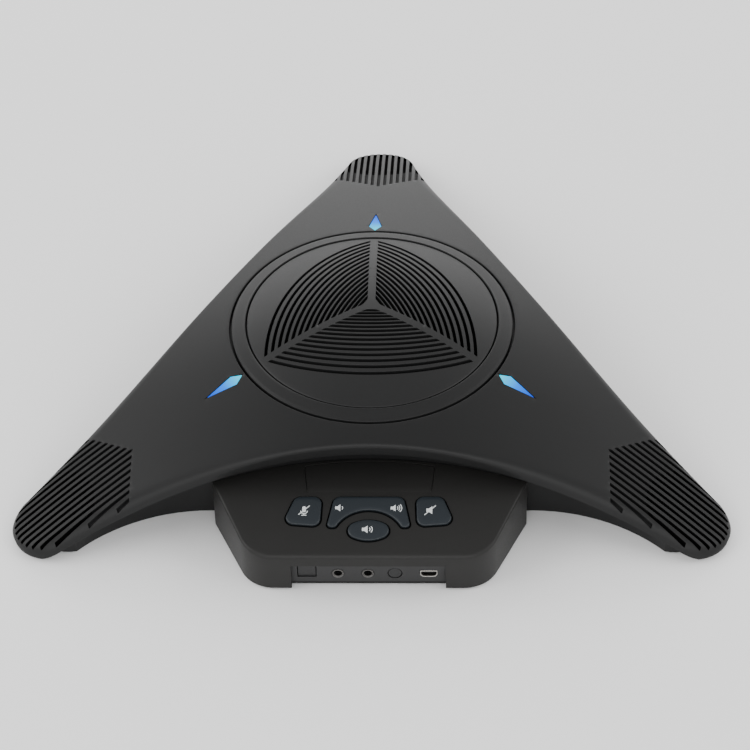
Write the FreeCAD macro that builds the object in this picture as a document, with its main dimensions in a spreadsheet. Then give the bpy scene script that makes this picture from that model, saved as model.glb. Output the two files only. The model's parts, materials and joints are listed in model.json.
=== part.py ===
import FreeCAD, Part
import os
import re
import Sketcher
from math import atan2, cos, radians, sin, sqrt
from FreeCAD import Placement, Rotation, Vector

# Conference speakerphone: a domed three-leg cover over a tray, a round loudspeaker in the middle,
# a microphone and a status light in each leg, and a wedge-shaped console with keys and ports.
# The origin is on the loudspeaker's axis, on the surface that the feet stand on; -Y is the front.

doc = FreeCAD.newDocument("speakerphone")
sheet = doc.addObject("Spreadsheet::Sheet", "Sizes")

SIZES = {
    # dome: an arc turned about Z carries the shell, a second one the grille
    "dome_radius": 700.0, "dome_centre_r": -134.9, "dome_centre_z": -618.9,
    "cap_radius": 170.0, "cap_top": 64.0, "grille_thick": 1.8, "cloth_thick": 0.4,
    "ring_inner": 57.2, "ring_outer": 65.0, "ring_seat": 49.0, "ledge_low": 46.8,
    "ring_inner_top": 54.4, "ring_outer_top": 51.8, "mouth": 54.0, "play": 0.2,
    # plan of the cover: waist distance, leg reach to the tip's centre, tip radius
    "waist": 75.4, "leg_reach": 165.0, "tip_radius": 17.8, "waist_arc": 404.7,
    "edge_roll": 8.0, "wall": 2.2, "lip_drop": 5.5, "part_line": 3.3, "rim_inset": 1.2,
    # tray
    "flank": 69.0, "flank_arc": 80.0, "flank_centre": 72.0, "base_tip": 17.1,
    "underside": 1.2, "floor_top": 2.7, "bay_arc": 202.0, "bay_back": 64.9,
    "label_radius": 24.0, "label_depth": 0.3,
    # grille slots, in each of three sectors
    "slot_first": 5.0, "slot_pitch": 3.45, "slot_bend": 90.0, "slot_half": 0.75, "rib_half": 1.8,
    # microphone slots, in leg coordinates
    "mic_apex": 122.4, "mic_spread": 0.565, "mic_pitch": 3.05, "mic_half": 0.75,
    "mic_end_centre": 167.3, "mic_end_radius": 14.0, "mic_groove": 1.2,
    "chamber_in": 139.0, "chamber_out": 157.0, "mic_at": 148.0, "mesh_half": 10.8,
    "boot_radius": 5.2, "boot_low": 9.0, "boot_top": 15.2, "capsule_radius": 3.0,
    "capsule_low": 12.0, "capsule_top": 14.7,
    # status light
    "led_inner": 66.3, "led_wide": 70.7, "led_half": 2.9, "led_outer": 84.9, "led_sink": 0.25,
    "led_board_low": 40.2, "led_board_top": 41.4, "led_board_half": 5.0,
    # console
    "console_half": 69.6, "console_back": 77.4, "console_front": 116.0, "front_half": 51.6,
    "console_round": 16.0, "panel_tilt": 10.0, "panel_mid": 96.0, "panel_height": 24.7,
    "panel_thick": 2.2, "console_wall": 2.2, "port_wall": 113.3, "recess_half": 33.7,
    "recess_top": 15.0, "port_z": 7.6, "board_low": 3.4, "board_top": 4.6,
    "board_half": 40.0, "board_front": 111.0, "board_back": 78.0,
    # keys, on the sloping panel
    "key_rise": 1.3, "key_gap": 0.5, "flange_top": 2.9, "flange_low": 3.8, "flange_lip": 0.9,
    "key_board_top": 6.0, "key_board_low": 7.2, "snap_rise": 0.8, "snap_radius": 2.6,
    "key_board_half": 45.0, "key_board_front": 12.0, "key_board_back": 14.0,
    # loudspeaker
    "frame_outer": 61.5, "frame_top": 45.0, "frame_low": 43.5, "basket_foot": 30.0,
    "basket_z": 22.5, "pole": 9.6, "coil_in": 10.0, "coil_out": 10.8, "plate_in": 11.2,
    "plate_out": 28.0, "plate_low": 18.5, "magnet_in": 16.0, "magnet_out": 30.0,
    "magnet_low": 10.5, "yoke_low": 6.5, "cone_outer": 44.5, "cone_neck_z": 32.5,
    "speaker_screw_at": 57.5,
    # screws and feet
    "screw": 1.4, "screw_head": 2.7, "boss": 4.0, "boss_at": 112.0, "rod": 3.4,
    "rod_x": 46.0, "rod_y": 94.0, "main_screw_x": 35.0, "main_screw_front": 105.0,
    "main_screw_back": 84.0, "key_screw_x": 41.0, "key_screw_front": 9.0, "key_screw_back": 11.0,
    "foot_radius": 7.0, "console_foot": 4.0, "console_foot_x": 40.0, "console_foot_y": 103.0,
}
for row, (alias, number) in enumerate(SIZES.items(), start=1):
    sheet.set(f"A{row}", alias)
    sheet.set(f"B{row}", str(number))
    sheet.setAlias(f"B{row}", alias)
doc.recompute()

LEGS = {"rear": 90, "left": 210, "right": 330}


def formula(text):
    """A formula over the sheet's names, written the way an expression needs it."""
    return re.sub(r"[a-z][a-z_]+", lambda m: "Sizes." + m.group() if m.group() in SIZES else m.group(),
                  str(text))


def value(text):
    return float(sheet.evalExpression(formula(text)))


def origin_feature(body, role):
    return next(f for f in body.Origin.OriginFeatures if f.Role == role)


def bind(item, **formulas):
    """Bind properties of an object to formulas; a double underscore stands for a dot."""
    for path, text in formulas.items():
        item.setExpression(path.replace("__", "."), formula(text))


# --- sketches -----------------------------------------------------------------------------------
def arc_between(start, end, radius, side):
    """Arc from start to end with its centre on the left (side 1) or the right (side -1)."""
    chord = end - start
    across = Vector(-chord.y, chord.x, 0).normalize()
    depth = sqrt(max(radius ** 2 - (chord.Length / 2) ** 2, 0))
    centre = (start + end) / 2 + across * depth * side
    first, last = (start, end) if side > 0 else (end, start)
    angles = [atan2(p.y - centre.y, p.x - centre.x) for p in (first, last)]
    return Part.ArcOfCircle(Part.Circle(centre, Vector(0, 0, 1), radius), *angles)


def draw_circle(sketch, x, y, radius):
    """Add a circle and give the constraints that its formulas drive."""
    here = sketch.addGeometry(Part.Circle(Vector(value(x), value(y), 0), Vector(0, 0, 1), value(radius)))
    rules = [(("DistanceX", -1, 1, here, 3), x), (("DistanceY", -1, 1, here, 3), y),
             (("Radius", here), radius)]
    return [(sketch.addConstraint(Sketcher.Constraint(*rule, value(text))), text) for rule, text in rules]


def draw(body, plane, loops, lift="0"):
    """Sketch closed loops of (x, y) or (x, y, radius, side) corners, each bound to its formula."""
    sketch = body.newObject("Sketcher::SketchObject", body.Name + "_sketch")
    sketch.AttachmentSupport = [(origin_feature(body, plane), "")]
    sketch.MapMode = "FlatFace"
    bind(sketch, AttachmentOffset__Base__z=lift)
    named = []
    for loop in loops:
        first = sketch.GeometryCount
        if loop[0] == "circle":
            named += draw_circle(sketch, *loop[1:])
            continue
        points = [Vector(value(corner[0]), value(corner[1]), 0) for corner in loop]
        ends = []
        for i, corner in enumerate(loop):
            start, end = points[i], points[(i + 1) % len(points)]
            if len(corner) == 2:
                sketch.addGeometry(Part.LineSegment(start, end))
                ends.append((1, 2))
            else:
                sketch.addGeometry(arc_between(start, end, value(corner[2]), corner[3]))
                ends.append((1, 2) if corner[3] > 0 else (2, 1))
        for i, corner in enumerate(loop):
            here, after = first + i, first + (i + 1) % len(loop)
            sketch.addConstraint(Sketcher.Constraint("Coincident", here, ends[i][1], after,
                                                     ends[(i + 1) % len(loop)][0]))
            for axis, number, text in (("DistanceX", points[i].x, corner[0]),
                                       ("DistanceY", points[i].y, corner[1])):
                index = sketch.addConstraint(Sketcher.Constraint(axis, -1, 1, here, ends[i][0], number))
                named.append((index, text))
            if len(corner) > 2:
                index = sketch.addConstraint(Sketcher.Constraint("Radius", here, value(corner[2])))
                named.append((index, corner[2]))
    for index, text in named:
        sketch.setExpression(f"Constraints[{index}]", formula(text))
    return sketch


def new_body(name):
    return doc.addObject("PartDesign::Body", name)


def turned(name, *loops):
    """A body turned about Z; each loop is a closed list of (radius, height) corners."""
    body = new_body(name)
    sketch = draw(body, "XZ_Plane", loops)
    turn = body.newObject("PartDesign::Revolution", name + "_turn")
    turn.Profile = sketch
    turn.ReferenceAxis = (sketch, ["V_Axis"])
    turn.Angle = 360
    return body


def padded(name, loops, low, high, plane="XY_Plane"):
    """A body padded from low to high along its plane's normal."""
    body = new_body(name)
    sketch = draw(body, plane, loops, low)
    pad = body.newObject("PartDesign::Pad", name + "_pad")
    pad.Profile = sketch
    bind(pad, Length=f"({high}) - ({low})")
    return body


def disc(name, radius, low, high, x="0", y="0"):
    """A plain cylinder between two heights."""
    item = doc.addObject("Part::Cylinder", name)
    bind(item, Radius=radius, Height=f"({high}) - ({low})", Placement__Base__x=x, Placement__Base__y=y,
         Placement__Base__z=low)
    return item


def block(name, x0, x1, y0, y1, z0, z1):
    """A box between two corners, each given by formulas."""
    item = doc.addObject("Part::Box", name)
    bind(item, Length=f"({x1}) - ({x0})", Width=f"({y1}) - ({y0})", Height=f"({z1}) - ({z0})",
         Placement__Base__x=x0, Placement__Base__y=y0, Placement__Base__z=z0)
    return item


def boolean(kind, name, *items):
    """Part::Cut takes the later items from the first; the others join or intersect them all."""
    if kind == "Cut" and len(items) > 2:
        items = (items[0], boolean("MultiFuse", name + "_tools", *items[1:]))
    result = doc.addObject("Part::" + kind, name)
    if kind == "Cut":
        result.Base, result.Tool = items
    else:
        result.Shapes = list(items)
    return result


def rounded(name, base, radius, choose):
    """Fillet the edges of base that choose accepts."""
    doc.recompute()
    result = doc.addObject("Part::Fillet", name)
    result.Base = base
    size = value(radius)
    result.Edges = [(i, size, size) for i, edge in enumerate(base.Shape.Edges, start=1) if choose(edge)]
    return result


def at_leg(item, angle):
    """Turn an item made on the +X axis onto a leg."""
    item.Placement = Placement(Vector(0, 0, 0), Rotation(Vector(0, 0, 1), angle)).multiply(item.Placement)
    return item


# --- shapes shared by the covers ----------------------------------------------------------------
def dome_z(r, drop="0"):
    """Height of the dome's arc at radius r, lowered by drop."""
    return f"dome_centre_z - ({drop}) + sqrt(dome_radius^2 - (({r}) - dome_centre_r)^2)"


def dome_r(z, drop):
    """Radius at which the lowered dome reaches height z."""
    return f"dome_centre_r + sqrt(dome_radius^2 - (({z}) + ({drop}) - dome_centre_z)^2)"


def in_plan(angle, along, across):
    """A point in leg coordinates, as plan formulas."""
    return (f"({along})*cos({angle}) - ({across})*sin({angle})",
            f"({along})*sin({angle}) + ({across})*cos({angle})")


def cover_plan(inset):
    """Three waisted sides, each tangent to the round tips beside it."""
    arc, tip = f"(waist_arc + ({inset}))", f"(tip_radius - ({inset}))"
    span = f"(({arc}) + ({tip}))"
    along = f"leg_reach + {tip}*((waist + waist_arc)*sin(30) - leg_reach)/{span}"
    across = f"{tip}*(waist + waist_arc)*cos(30)/{span}"
    loop = []
    for angle in LEGS.values():
        loop.append(in_plan(angle, along, f"-({across})") + (tip, 1))
        loop.append(in_plan(angle, along, across) + (arc, -1))
    return loop


def tray_plan(inset):
    """Straight flanks, a hollow arc to each leg and round tips."""
    arc, tip = f"(flank_arc + ({inset}))", f"(base_tip - ({inset}))"
    span = "(flank_arc + base_tip)"
    centre_u = "(flank_centre*cos(30) + (flank + flank_arc)*sin(30))"
    centre_v = "((flank + flank_arc)*cos(30) - flank_centre*sin(30))"
    tip_u, tip_v = f"leg_reach + {tip}*({centre_u} - leg_reach)/{span}", f"{tip}*{centre_v}/{span}"
    foot_u = f"({centre_u} - {arc}*sin(30))"
    foot_v = f"({centre_v} - {arc}*cos(30))"
    loop = []
    for angle in LEGS.values():
        loop.append(in_plan(angle, foot_u, f"-{foot_v}") + (arc, -1))
        loop.append(in_plan(angle, tip_u, f"-({tip_v})") + (tip, 1))
        loop.append(in_plan(angle, tip_u, tip_v) + (arc, -1))
        loop.append(in_plan(angle, foot_u, foot_v))
    return loop


FAR = "leg_reach + 25"


def under_dome(name, drop):
    """Everything below the lowered dome."""
    return turned(name, [("0", "-30"), (FAR, "-30"), (FAR, dome_z(FAR, drop), "dome_radius", 1),
                         ("0", dome_z("0", drop))])


def under_levelled_dome(name, drop, level):
    """Everything below the lowered dome, or below the level where that is higher."""
    return turned(name, [("0", "-30"), (FAR, "-30"), (FAR, level),
                         (dome_r(level, drop), level, "dome_radius", 1), ("0", dome_z("0", drop))])


def dome_band(name, top, top_level, low, low_level):
    """The layer between two lowered domes, levelled off where they come down to the legs' tips."""
    return turned(name, [("0", dome_z("0", low), "dome_radius", -1), (dome_r(low_level, low), low_level),
                         (FAR, low_level), (FAR, top_level),
                         (dome_r(top_level, top), top_level, "dome_radius", 1), ("0", dome_z("0", top))])


def cap_z(r, drop="0"):
    """Height of the grille's spherical cap at radius r."""
    return f"cap_top - ({drop}) - cap_radius + sqrt(cap_radius^2 - ({r})^2)"


def circle(x, y, radius):
    """A loop that is a whole circle."""
    return ("circle", x, y, radius)


def rectangle(x0, x1, y0, y1):
    return [(x0, y0), (x1, y0), (x1, y1), (x0, y1)]


def console_plan(inset, gap):
    """The console: a hollow back against the tray, leaning sides, a straight front, round corners."""
    lean = "(console_half - front_half)/(console_front - console_back)"
    side = f"sqrt(1 + ({lean})^2)"
    back_r = f"(bay_arc - ({gap}))"
    back_x = f"(console_half - ({inset})*{side} - {lean}*({gap}))"
    back_y = f"-(bay_back + bay_arc) + sqrt({back_r}^2 - {back_x}^2)"
    radius = f"(console_round - ({inset}))"
    front_y = f"(console_front - ({inset}))"
    corner_x = f"(console_half - ({lean})*({front_y} - console_back) - ({inset})*{side})"
    tangent = f"{radius}*tan((90 deg - atan({lean}))/2)"
    front_x = f"{corner_x} - {tangent}"
    side_x = f"{corner_x} + {tangent}*sin(atan({lean}))"
    side_y = f"-{front_y} + {tangent}*cos(atan({lean}))"
    return [(back_x, back_y, back_r, 1), (f"-{back_x}", back_y), (f"-({side_x})", side_y, radius, 1),
            (f"-({front_x})", f"-{front_y}"), (front_x, f"-{front_y}", radius, 1), (side_x, side_y)]


def upright(edge):
    box = edge.BoundBox
    return box.XLength < 0.01 and box.YLength < 0.01


def top_edges(edge):
    """Edges of the domed blanks' upper rim: above the cut underneath, and not upright."""
    return edge.BoundBox.ZMin > -15 and not upright(edge)


# --- cover --------------------------------------------------------------------------------------
def leg_copies(name, make):
    """The same item on each of the three legs, joined for use as one tool."""
    return boolean("MultiFuse", name, *[at_leg(make(f"{name}_{leg}"), angle) for leg, angle in LEGS.items()])


def kite(grow):
    return [(f"led_inner - 1.8*({grow})", "0"), ("led_wide", f"-(led_half + ({grow}))"),
            (f"led_outer + 4*({grow})", "0"), ("led_wide", f"led_half + ({grow})")]


def mic_bars(name):
    """Thirteen slots along a leg, from the V towards the body to the round end at the tip."""
    loops = []
    for k in range(-6, 7):
        low, high = (f"{k}*mic_pitch - mic_half", f"{k}*mic_pitch + mic_half")
        inner = [f"mic_apex + mic_spread*abs({v})" for v in (low, high)]
        outer = f"mic_end_centre + sqrt(abs(mic_end_radius^2 - ({k}*mic_pitch)^2)) - max(0; {abs(k)} - 4)*9"
        loops.append([(inner[0], low), (outer, low), (outer, high), (inner[1], high)])
    return padded(name, loops, "0", "cap_top")


def chamber_bars(name):
    """The middle slots' through part, over the microphone."""
    loops = [rectangle("chamber_in", "chamber_out", f"{k}*mic_pitch - mic_half", f"{k}*mic_pitch + mic_half")
             for k in range(-3, 4)]
    return padded(name, loops, "0", "cap_top")


blank = padded("cover_blank", [cover_plan("0")], "-20", "cap_top")
domed = boolean("MultiCommon", "cover_domed", blank, under_dome("cover_dome", "0"))
rolled = rounded("cover_rolled", domed, "edge_roll", top_edges)
layer = boolean("MultiCommon", "cover_layer", rolled,
                dome_band("cover_band", "-6", "part_line + 12", "lip_drop", "part_line"))
hollow_blank = padded("hollow_blank", [cover_plan("wall")], "-20", "cap_top")
hollow_dome = turned("hollow_dome", [("0", "-30"), (FAR, "-30"), (FAR, dome_z(FAR, "wall"), "dome_radius", 1),
                                     ("ring_outer + 2.5", dome_z("ring_outer + 2.5", "wall")),
                                     ("ring_outer + 2.5", "ledge_low"), ("0", "ledge_low")])
hollow_domed = boolean("MultiCommon", "hollow_domed", hollow_blank, hollow_dome)


def hollow_rim(edge):
    box = edge.BoundBox
    return top_edges(edge) and box.ZMax < 46 and max(abs(box.XMax), abs(box.XMin), abs(box.YMax)) > 68


hollow = rounded("hollow", hollow_domed, "edge_roll - wall", hollow_rim)
groove_bars = leg_copies("groove_bars", mic_bars)
grooves = boolean("MultiCommon", "grooves", groove_bars,
                  dome_band("groove_band", "-6", "part_line + 12", "mic_groove", "part_line + 1"))
chamber_slots = leg_copies("chamber_slots", chamber_bars)
led_windows = leg_copies("led_windows", lambda name: padded(name, [kite("0.12")], "30", "cap_top"))
mouth = disc("mouth_tool", "mouth", "20", "cap_top + 5")
ring_recess = disc("ring_recess", "ring_outer", "ring_seat", "cap_top + 5")
shell_open = boolean("Cut", "shell_open", layer, hollow, mouth, ring_recess, grooves, chamber_slots,
                     led_windows)
boss_rods = leg_copies("boss_rods", lambda name: padded(name, [circle("boss_at", "0", "boss")], "floor_top",
                                                        "cap_top"))
bosses = boolean("MultiCommon", "bosses", boss_rods, under_dome("boss_dome", "1"))
shell_bossed = boolean("MultiFuse", "shell_bossed", shell_open, bosses)


# --- screws -------------------------------------------------------------------------------------
def screw(name, x, y, head_low, head_top, tip, radius, head_radius):
    """A pan-head screw; head_low is above head_top where it is driven downwards."""
    body = turned(name, [("0", head_low), (head_radius, head_low), (head_radius, head_top),
                         (radius, head_top), (radius, tip), ("0", tip)])
    body.Placement = Placement(Vector(value(x), value(y), 0), Rotation())
    return body


def group(name, items):
    result = doc.addObject("Part::Compound", name)
    result.Links = items
    return result


shell_spots = {leg: in_plan(angle, "boss_at", "0") for leg, angle in LEGS.items()}
shell_spots["console_left"] = ("-rod_x", "-rod_y")
shell_spots["console_right"] = ("rod_x", "-rod_y")
shell_screws = group("shell_screws", [
    screw(f"shell_screw_{spot}", x, y, "underside + 0.3", "floor_top", "floor_top + 9", "screw", "screw_head")
    for spot, (x, y) in shell_spots.items()])
speaker_screws = group("speaker_screws", [
    screw(f"speaker_screw_{angle}", f"speaker_screw_at*cos({angle})", f"speaker_screw_at*sin({angle})",
          "frame_low - 1.2", "frame_low", "ring_seat - 0.6", "screw - 0.2", "screw_head - 0.4")
    for angle in (45, 135, 225, 315)])
main_spots = [(x, y) for x in ("-main_screw_x", "main_screw_x")
              for y in ("-main_screw_front", "-main_screw_back")]
main_screws = [screw(f"main_screw_{i}", x, y, "board_top + 1.3", "board_top", "underside + 0.7",
                     "screw - 0.2", "screw_head - 0.4") for i, (x, y) in enumerate(main_spots)]

top_shell = boolean("Cut", "top_shell", shell_bossed, shell_screws, speaker_screws)

# --- grille, cloth and ring ---------------------------------------------------------------------
trim_ring = turned("trim_ring", [("ring_inner", "ring_seat"), ("ring_outer - play", "ring_seat"),
                                 ("ring_outer - play", "ring_outer_top"), ("ring_inner", "ring_inner_top")])
grille_cloth = turned("grille_cloth", [("0", cap_z("0", "grille_thick + cloth_thick"), "cap_radius", -1),
                                       ("mouth", cap_z("mouth", "grille_thick + cloth_thick")),
                                       ("mouth", cap_z("mouth", "grille_thick"), "cap_radius", 1),
                                       ("0", cap_z("0", "grille_thick"))])
GRILLE_EDGE = "ring_inner - play"
speaker_grille = turned("speaker_grille", [("0", cap_z("0", "grille_thick"), "cap_radius", -1),
                                           ("mouth", cap_z("mouth", "grille_thick")),
                                           ("mouth", "ring_seat"), (GRILLE_EDGE, "ring_seat"),
                                           (GRILLE_EDGE, cap_z(GRILLE_EDGE), "cap_radius", 1),
                                           ("0", cap_z("0"))])


def grille_slot(k):
    """One arc slot of the front sector, between the ribs that run to the left and right legs."""
    loop = []
    for half, side, ends in (("slot_half", 1, (-1, 1)), ("-slot_half", -1, (1, -1))):
        along = f"(slot_first + {k}*slot_pitch)"
        x = f"({along}*cos(30) - rib_half*sin(30))"
        y = f"(-{along}*sin(30) - rib_half*cos(30) - ({half})*1.1)"
        loop.append((f"{ends[0]}*{x}", y, f"slot_bend + ({half})", side))
        loop.append((f"{ends[1]}*{x}", y))
    return loop


slot_sketch = draw(speaker_grille, "XY_Plane", [grille_slot(k) for k in range(15)], "cap_top + 1")
pocket = speaker_grille.newObject("PartDesign::Pocket", "grille_slots")
pocket.Profile = slot_sketch
bind(pocket, Length="cap_top - ring_seat")
sectors = speaker_grille.newObject("PartDesign::PolarPattern", "grille_sectors")
sectors.Originals = [pocket]
sectors.Axis = (origin_feature(speaker_grille, "Z_Axis"), [""])
sectors.Angle = 360
sectors.Occurrences = 3
speaker_grille.Tip = sectors


# --- parts of each leg --------------------------------------------------------------------------
leg_nodes = []
posts = []
for leg, angle in LEGS.items():
    light = at_leg(padded(f"led_blank_{leg}", [kite("0")], "30", "cap_top"), angle)
    leg_nodes.append(boolean("MultiCommon", f"led_lens_{leg}", light,
                             dome_band(f"led_band_{leg}", "led_sink", "part_line", "wall + 2", "underside")))
    board = padded(f"led_board_{leg}", [rectangle("led_wide - 1", "led_outer - 1", "-led_board_half",
                                                    "led_board_half")], "led_board_low", "led_board_top")
    leg_nodes.append(at_leg(board, angle))
    patch = at_leg(padded(f"mesh_blank_{leg}", [rectangle("chamber_in - 2", "chamber_out + 2",
                                                          "-mesh_half", "mesh_half")], "0", "cap_top"), angle)
    leg_nodes.append(boolean("MultiCommon", f"mic_mesh_{leg}", patch,
                             dome_band(f"mesh_band_{leg}", "wall + 0.05", "part_line", "wall + 0.45",
                                       "underside")))
    spot = Placement(Vector(value(in_plan(angle, "mic_at", "0")[0]), value(in_plan(angle, "mic_at", "0")[1]),
                            0), Rotation())
    bore = "capsule_radius + 0.02"
    boot = turned(f"mic_boot_{leg}", [("0", "boot_low"), ("boot_radius", "boot_low"),
                                      ("boot_radius", "boot_top"), (bore, "boot_top"),
                                      (bore, "capsule_low"), ("0", "capsule_low")])
    capsule = turned(f"mic_capsule_{leg}", rectangle("0", "capsule_radius", "capsule_low", "capsule_top"))
    post = turned(f"mic_post_{leg}", rectangle("0", "boss", "floor_top", "boot_low"))
    for item in (boot, capsule, post):
        item.Placement = spot
    leg_nodes += [boot, capsule]
    posts.append(post)

# --- tray ---------------------------------------------------------------------------------------


def ahead_of_arch(name, thicker, low):
    """The zone in front of the tray's arched front wall."""
    radius = f"(bay_arc + ({thicker}))"
    y = f"-(bay_back + bay_arc) + sqrt({radius}^2 - (console_half + 4)^2)"
    return padded(name, [[("console_half + 4", y, radius, 1), ("-(console_half + 4)", y),
                          ("-(console_half + 4)", "-150"), ("console_half + 4", "-150")]], low, "cap_top")


tray_block = padded("tray_block", [tray_plan("0")], "underside", "cap_top")
front_block = block("front_block", "-console_half", "console_half", "-console_back - 2", "-50", "underside",
                    "cap_top")
tray_solid = boolean("Cut", "tray_solid", boolean("MultiFuse", "tray_joined", tray_block, front_block),
                     ahead_of_arch("bay", "0", "underside - 1"))
tray_low = boolean("MultiCommon", "tray_low", tray_solid,
                   under_levelled_dome("tray_dome", "lip_drop", "part_line"))
rim = boolean("MultiCommon", "rim", padded("rim_blank", [cover_plan("rim_inset")], "0", "cap_top"),
              dome_band("rim_band", "lip_drop", "part_line", "lip_drop + 1.8", "underside"))
tray_inner = boolean("Cut", "tray_inner", padded("inner_blank", [tray_plan("wall")], "floor_top", "cap_top"),
                     ahead_of_arch("arch_zone", "2", "0"))
console_floor = padded("console_floor", [console_plan("console_wall + 0.6", "-1")], "underside", "floor_top")
standoffs = [disc(f"standoff_{i}", "3", "floor_top", "board_low", x, y) for i, (x, y) in
             enumerate(main_spots)]
screw_wells = [disc(f"screw_well_{spot}", "screw_head", "underside - 1", "floor_top", x, y)
               for spot, (x, y) in shell_spots.items()]
tray_joint = boolean("MultiFuse", "tray_joint", tray_low, rim, console_floor)
tray_open = boolean("Cut", "tray_open", tray_joint, tray_inner)
tray_full = boolean("MultiFuse", "tray_full", tray_open, *posts, *standoffs)
base_shell = boolean("Cut", "base_shell", tray_full, *screw_wells, *main_screws,
                     block("cable_gate", "-12", "12", "-bay_back - 1", "-50", "12", "24"),
                     disc("label_recess", "label_radius", "underside - 1", "underside + label_depth"))

# --- loudspeaker --------------------------------------------------------------------------------
basket = turned("basket", [("20", "basket_z"), ("34", "basket_z"), ("52.5", "frame_low"),
                           ("frame_outer", "frame_low"), ("frame_outer", "frame_top"),
                           ("50.5", "frame_top"), ("32.5", "24.5"), ("29", "24.5"), ("29", "27.5"),
                           ("25", "27.5"), ("25", "24"), ("20", "24")])
speaker_frame = boolean("Cut", "speaker_frame", basket,
                        block("window_x", "-70", "70", "-9", "9", "29", "40"),
                        block("window_y", "-9", "9", "-70", "70", "29", "40"), speaker_screws)
gasket_blank = turned("gasket_blank", [("53.2", "frame_top"), ("frame_outer", "frame_top"),
                                       ("frame_outer", "ledge_low"), ("53.2", "ledge_low")])
speaker_gasket = boolean("Cut", "speaker_gasket", gasket_blank, speaker_screws)
front_plate = turned("front_plate", [("plate_in", "plate_low"), ("plate_out", "plate_low"),
                                     ("plate_out", "basket_z"), ("plate_in", "basket_z")])
ring_magnet = turned("ring_magnet", [("magnet_in", "magnet_low"), ("magnet_out", "magnet_low"),
                                     ("magnet_out", "plate_low"), ("magnet_in", "plate_low")])
yoke = turned("yoke", [("0", "yoke_low"), ("plate_out", "yoke_low"), ("plate_out", "magnet_low"),
                       ("pole", "magnet_low"), ("pole", "basket_z"), ("0", "basket_z")])
voice_coil = turned("voice_coil", [("coil_in", "14"), ("coil_out", "14"), ("coil_out", "cone_neck_z + 0.4"),
                                   ("coil_in", "cone_neck_z + 0.4")])
spider = turned("spider", [("coil_out", "27.5"), ("14", "27.5"), ("15.5", "28.3"), ("17", "27.5"),
                           ("18.5", "28.3"), ("20", "27.5"), ("21.5", "28.3"), ("23", "27.5"),
                           ("28.5", "27.5"), ("28.5", "28"), ("23", "28"), ("21.5", "28.8"), ("20", "28"),
                           ("18.5", "28.8"), ("17", "28"), ("15.5", "28.8"), ("14", "28"),
                           ("coil_out", "28")])
speaker_cone = turned("speaker_cone", [("coil_out", "cone_neck_z - 0.4"), ("cone_outer", "frame_top - 0.6"),
                                       ("cone_outer", "frame_top"), ("coil_out", "cone_neck_z + 0.4")])
dust_cap = turned("dust_cap", [("13.4", "34.1"), ("14", "34.1", "(14^2 + 4.9^2)/(2*4.9)", 1), ("0", "39"),
                               ("0", "38.5", "(13.4^2 + 4.4^2)/(2*4.4)", -1)])
surround = turned("surround", [("43", "frame_top"), ("45", "frame_top", "2.55", -1), ("50", "frame_top"),
                               ("53", "frame_top"), ("53", "frame_top + 0.5"),
                               ("50.5", "frame_top + 0.5", "3.05", 1), ("44.5", "frame_top + 0.5"),
                               ("43", "frame_top + 0.5")])


# --- console ------------------------------------------------------------------------------------
def on_panel(item):
    """Put an item made flat at the origin onto the sloping key panel."""
    place = Placement(Vector(0, -value("panel_mid"), value("panel_height")),
                      Rotation(Vector(1, 0, 0), value("panel_tilt")))
    item.Placement = place.multiply(item.Placement)
    return item


def key_side(side, grow):
    """The four-cornered mute keys; side is -1 on the left and 1 on the right."""
    corners = [(20.6, 10.7, -1, 1), (32.4, 10.6, 1, 1), (37.7, -3.5, 1, -1), (21.2, -4.9, -1, -1)]
    loop = [(f"{side}*({x} + {sx}*({grow}))", f"{w} + {sw}*({grow})") for x, w, sx, sw in corners]
    return loop[::-1] if side > 0 else loop


def key_crescent(grow):
    """The volume rocker: a bridge with two lobes round the talk key."""
    return [(f"15.2 + ({grow})", f"10.6 + ({grow})"), (f"-15.2 - ({grow})", f"10.6 + ({grow})"),
            (f"-18.4 - ({grow})", f"-5.4 - ({grow})"), (f"-14.4 + ({grow})", f"-5.4 - ({grow})",
                                                         f"16.1 - ({grow})", -1),
            (f"14.4 - ({grow})", f"-5.4 - ({grow})"), (f"18.4 + ({grow})", f"-5.4 - ({grow})")]


def key_oval(grow):
    """The talk key: an oval of four arcs round the point 6.9 below the panel's middle."""
    x, w = f"(6.776 + 0.47*({grow}))", f"(3.706 + 0.88*({grow}))"
    wide, tight = f"14.4 + ({grow})", f"4.2 + ({grow})"
    return [(x, f"-6.9 - {w}", tight, 1), (x, f"-6.9 + {w}", wide, 1),
            (f"-{x}", f"-6.9 + {w}", tight, 1), (f"-{x}", f"-6.9 - {w}", wide, 1)]


KEYS = {"mic_mute_button": (lambda grow: key_side(-1, grow), 3.0, [("-28.8", "3")]),
        "volume_rocker": (key_crescent, 1.6, [("-13", "4.5"), ("13", "4.5")]),
        "speaker_mute_button": (lambda grow: key_side(1, grow), 3.0, [("28.8", "3")]),
        "talk_button": (key_oval, 0, [("0", "-6.9")])}


def with_round_corners(body, radius):
    """Round a flat pad's upright edges where its outline has corners."""
    if radius:
        body.recompute(True)
        pad = body.Tip
        corners = [f"Edge{i}" for i, edge in enumerate(pad.Shape.Edges, start=1) if upright(edge)]
        fillet = body.newObject("PartDesign::Fillet", body.Name + "_corners")
        fillet.Base = (pad, corners)
        fillet.Radius = radius
    return body


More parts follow.
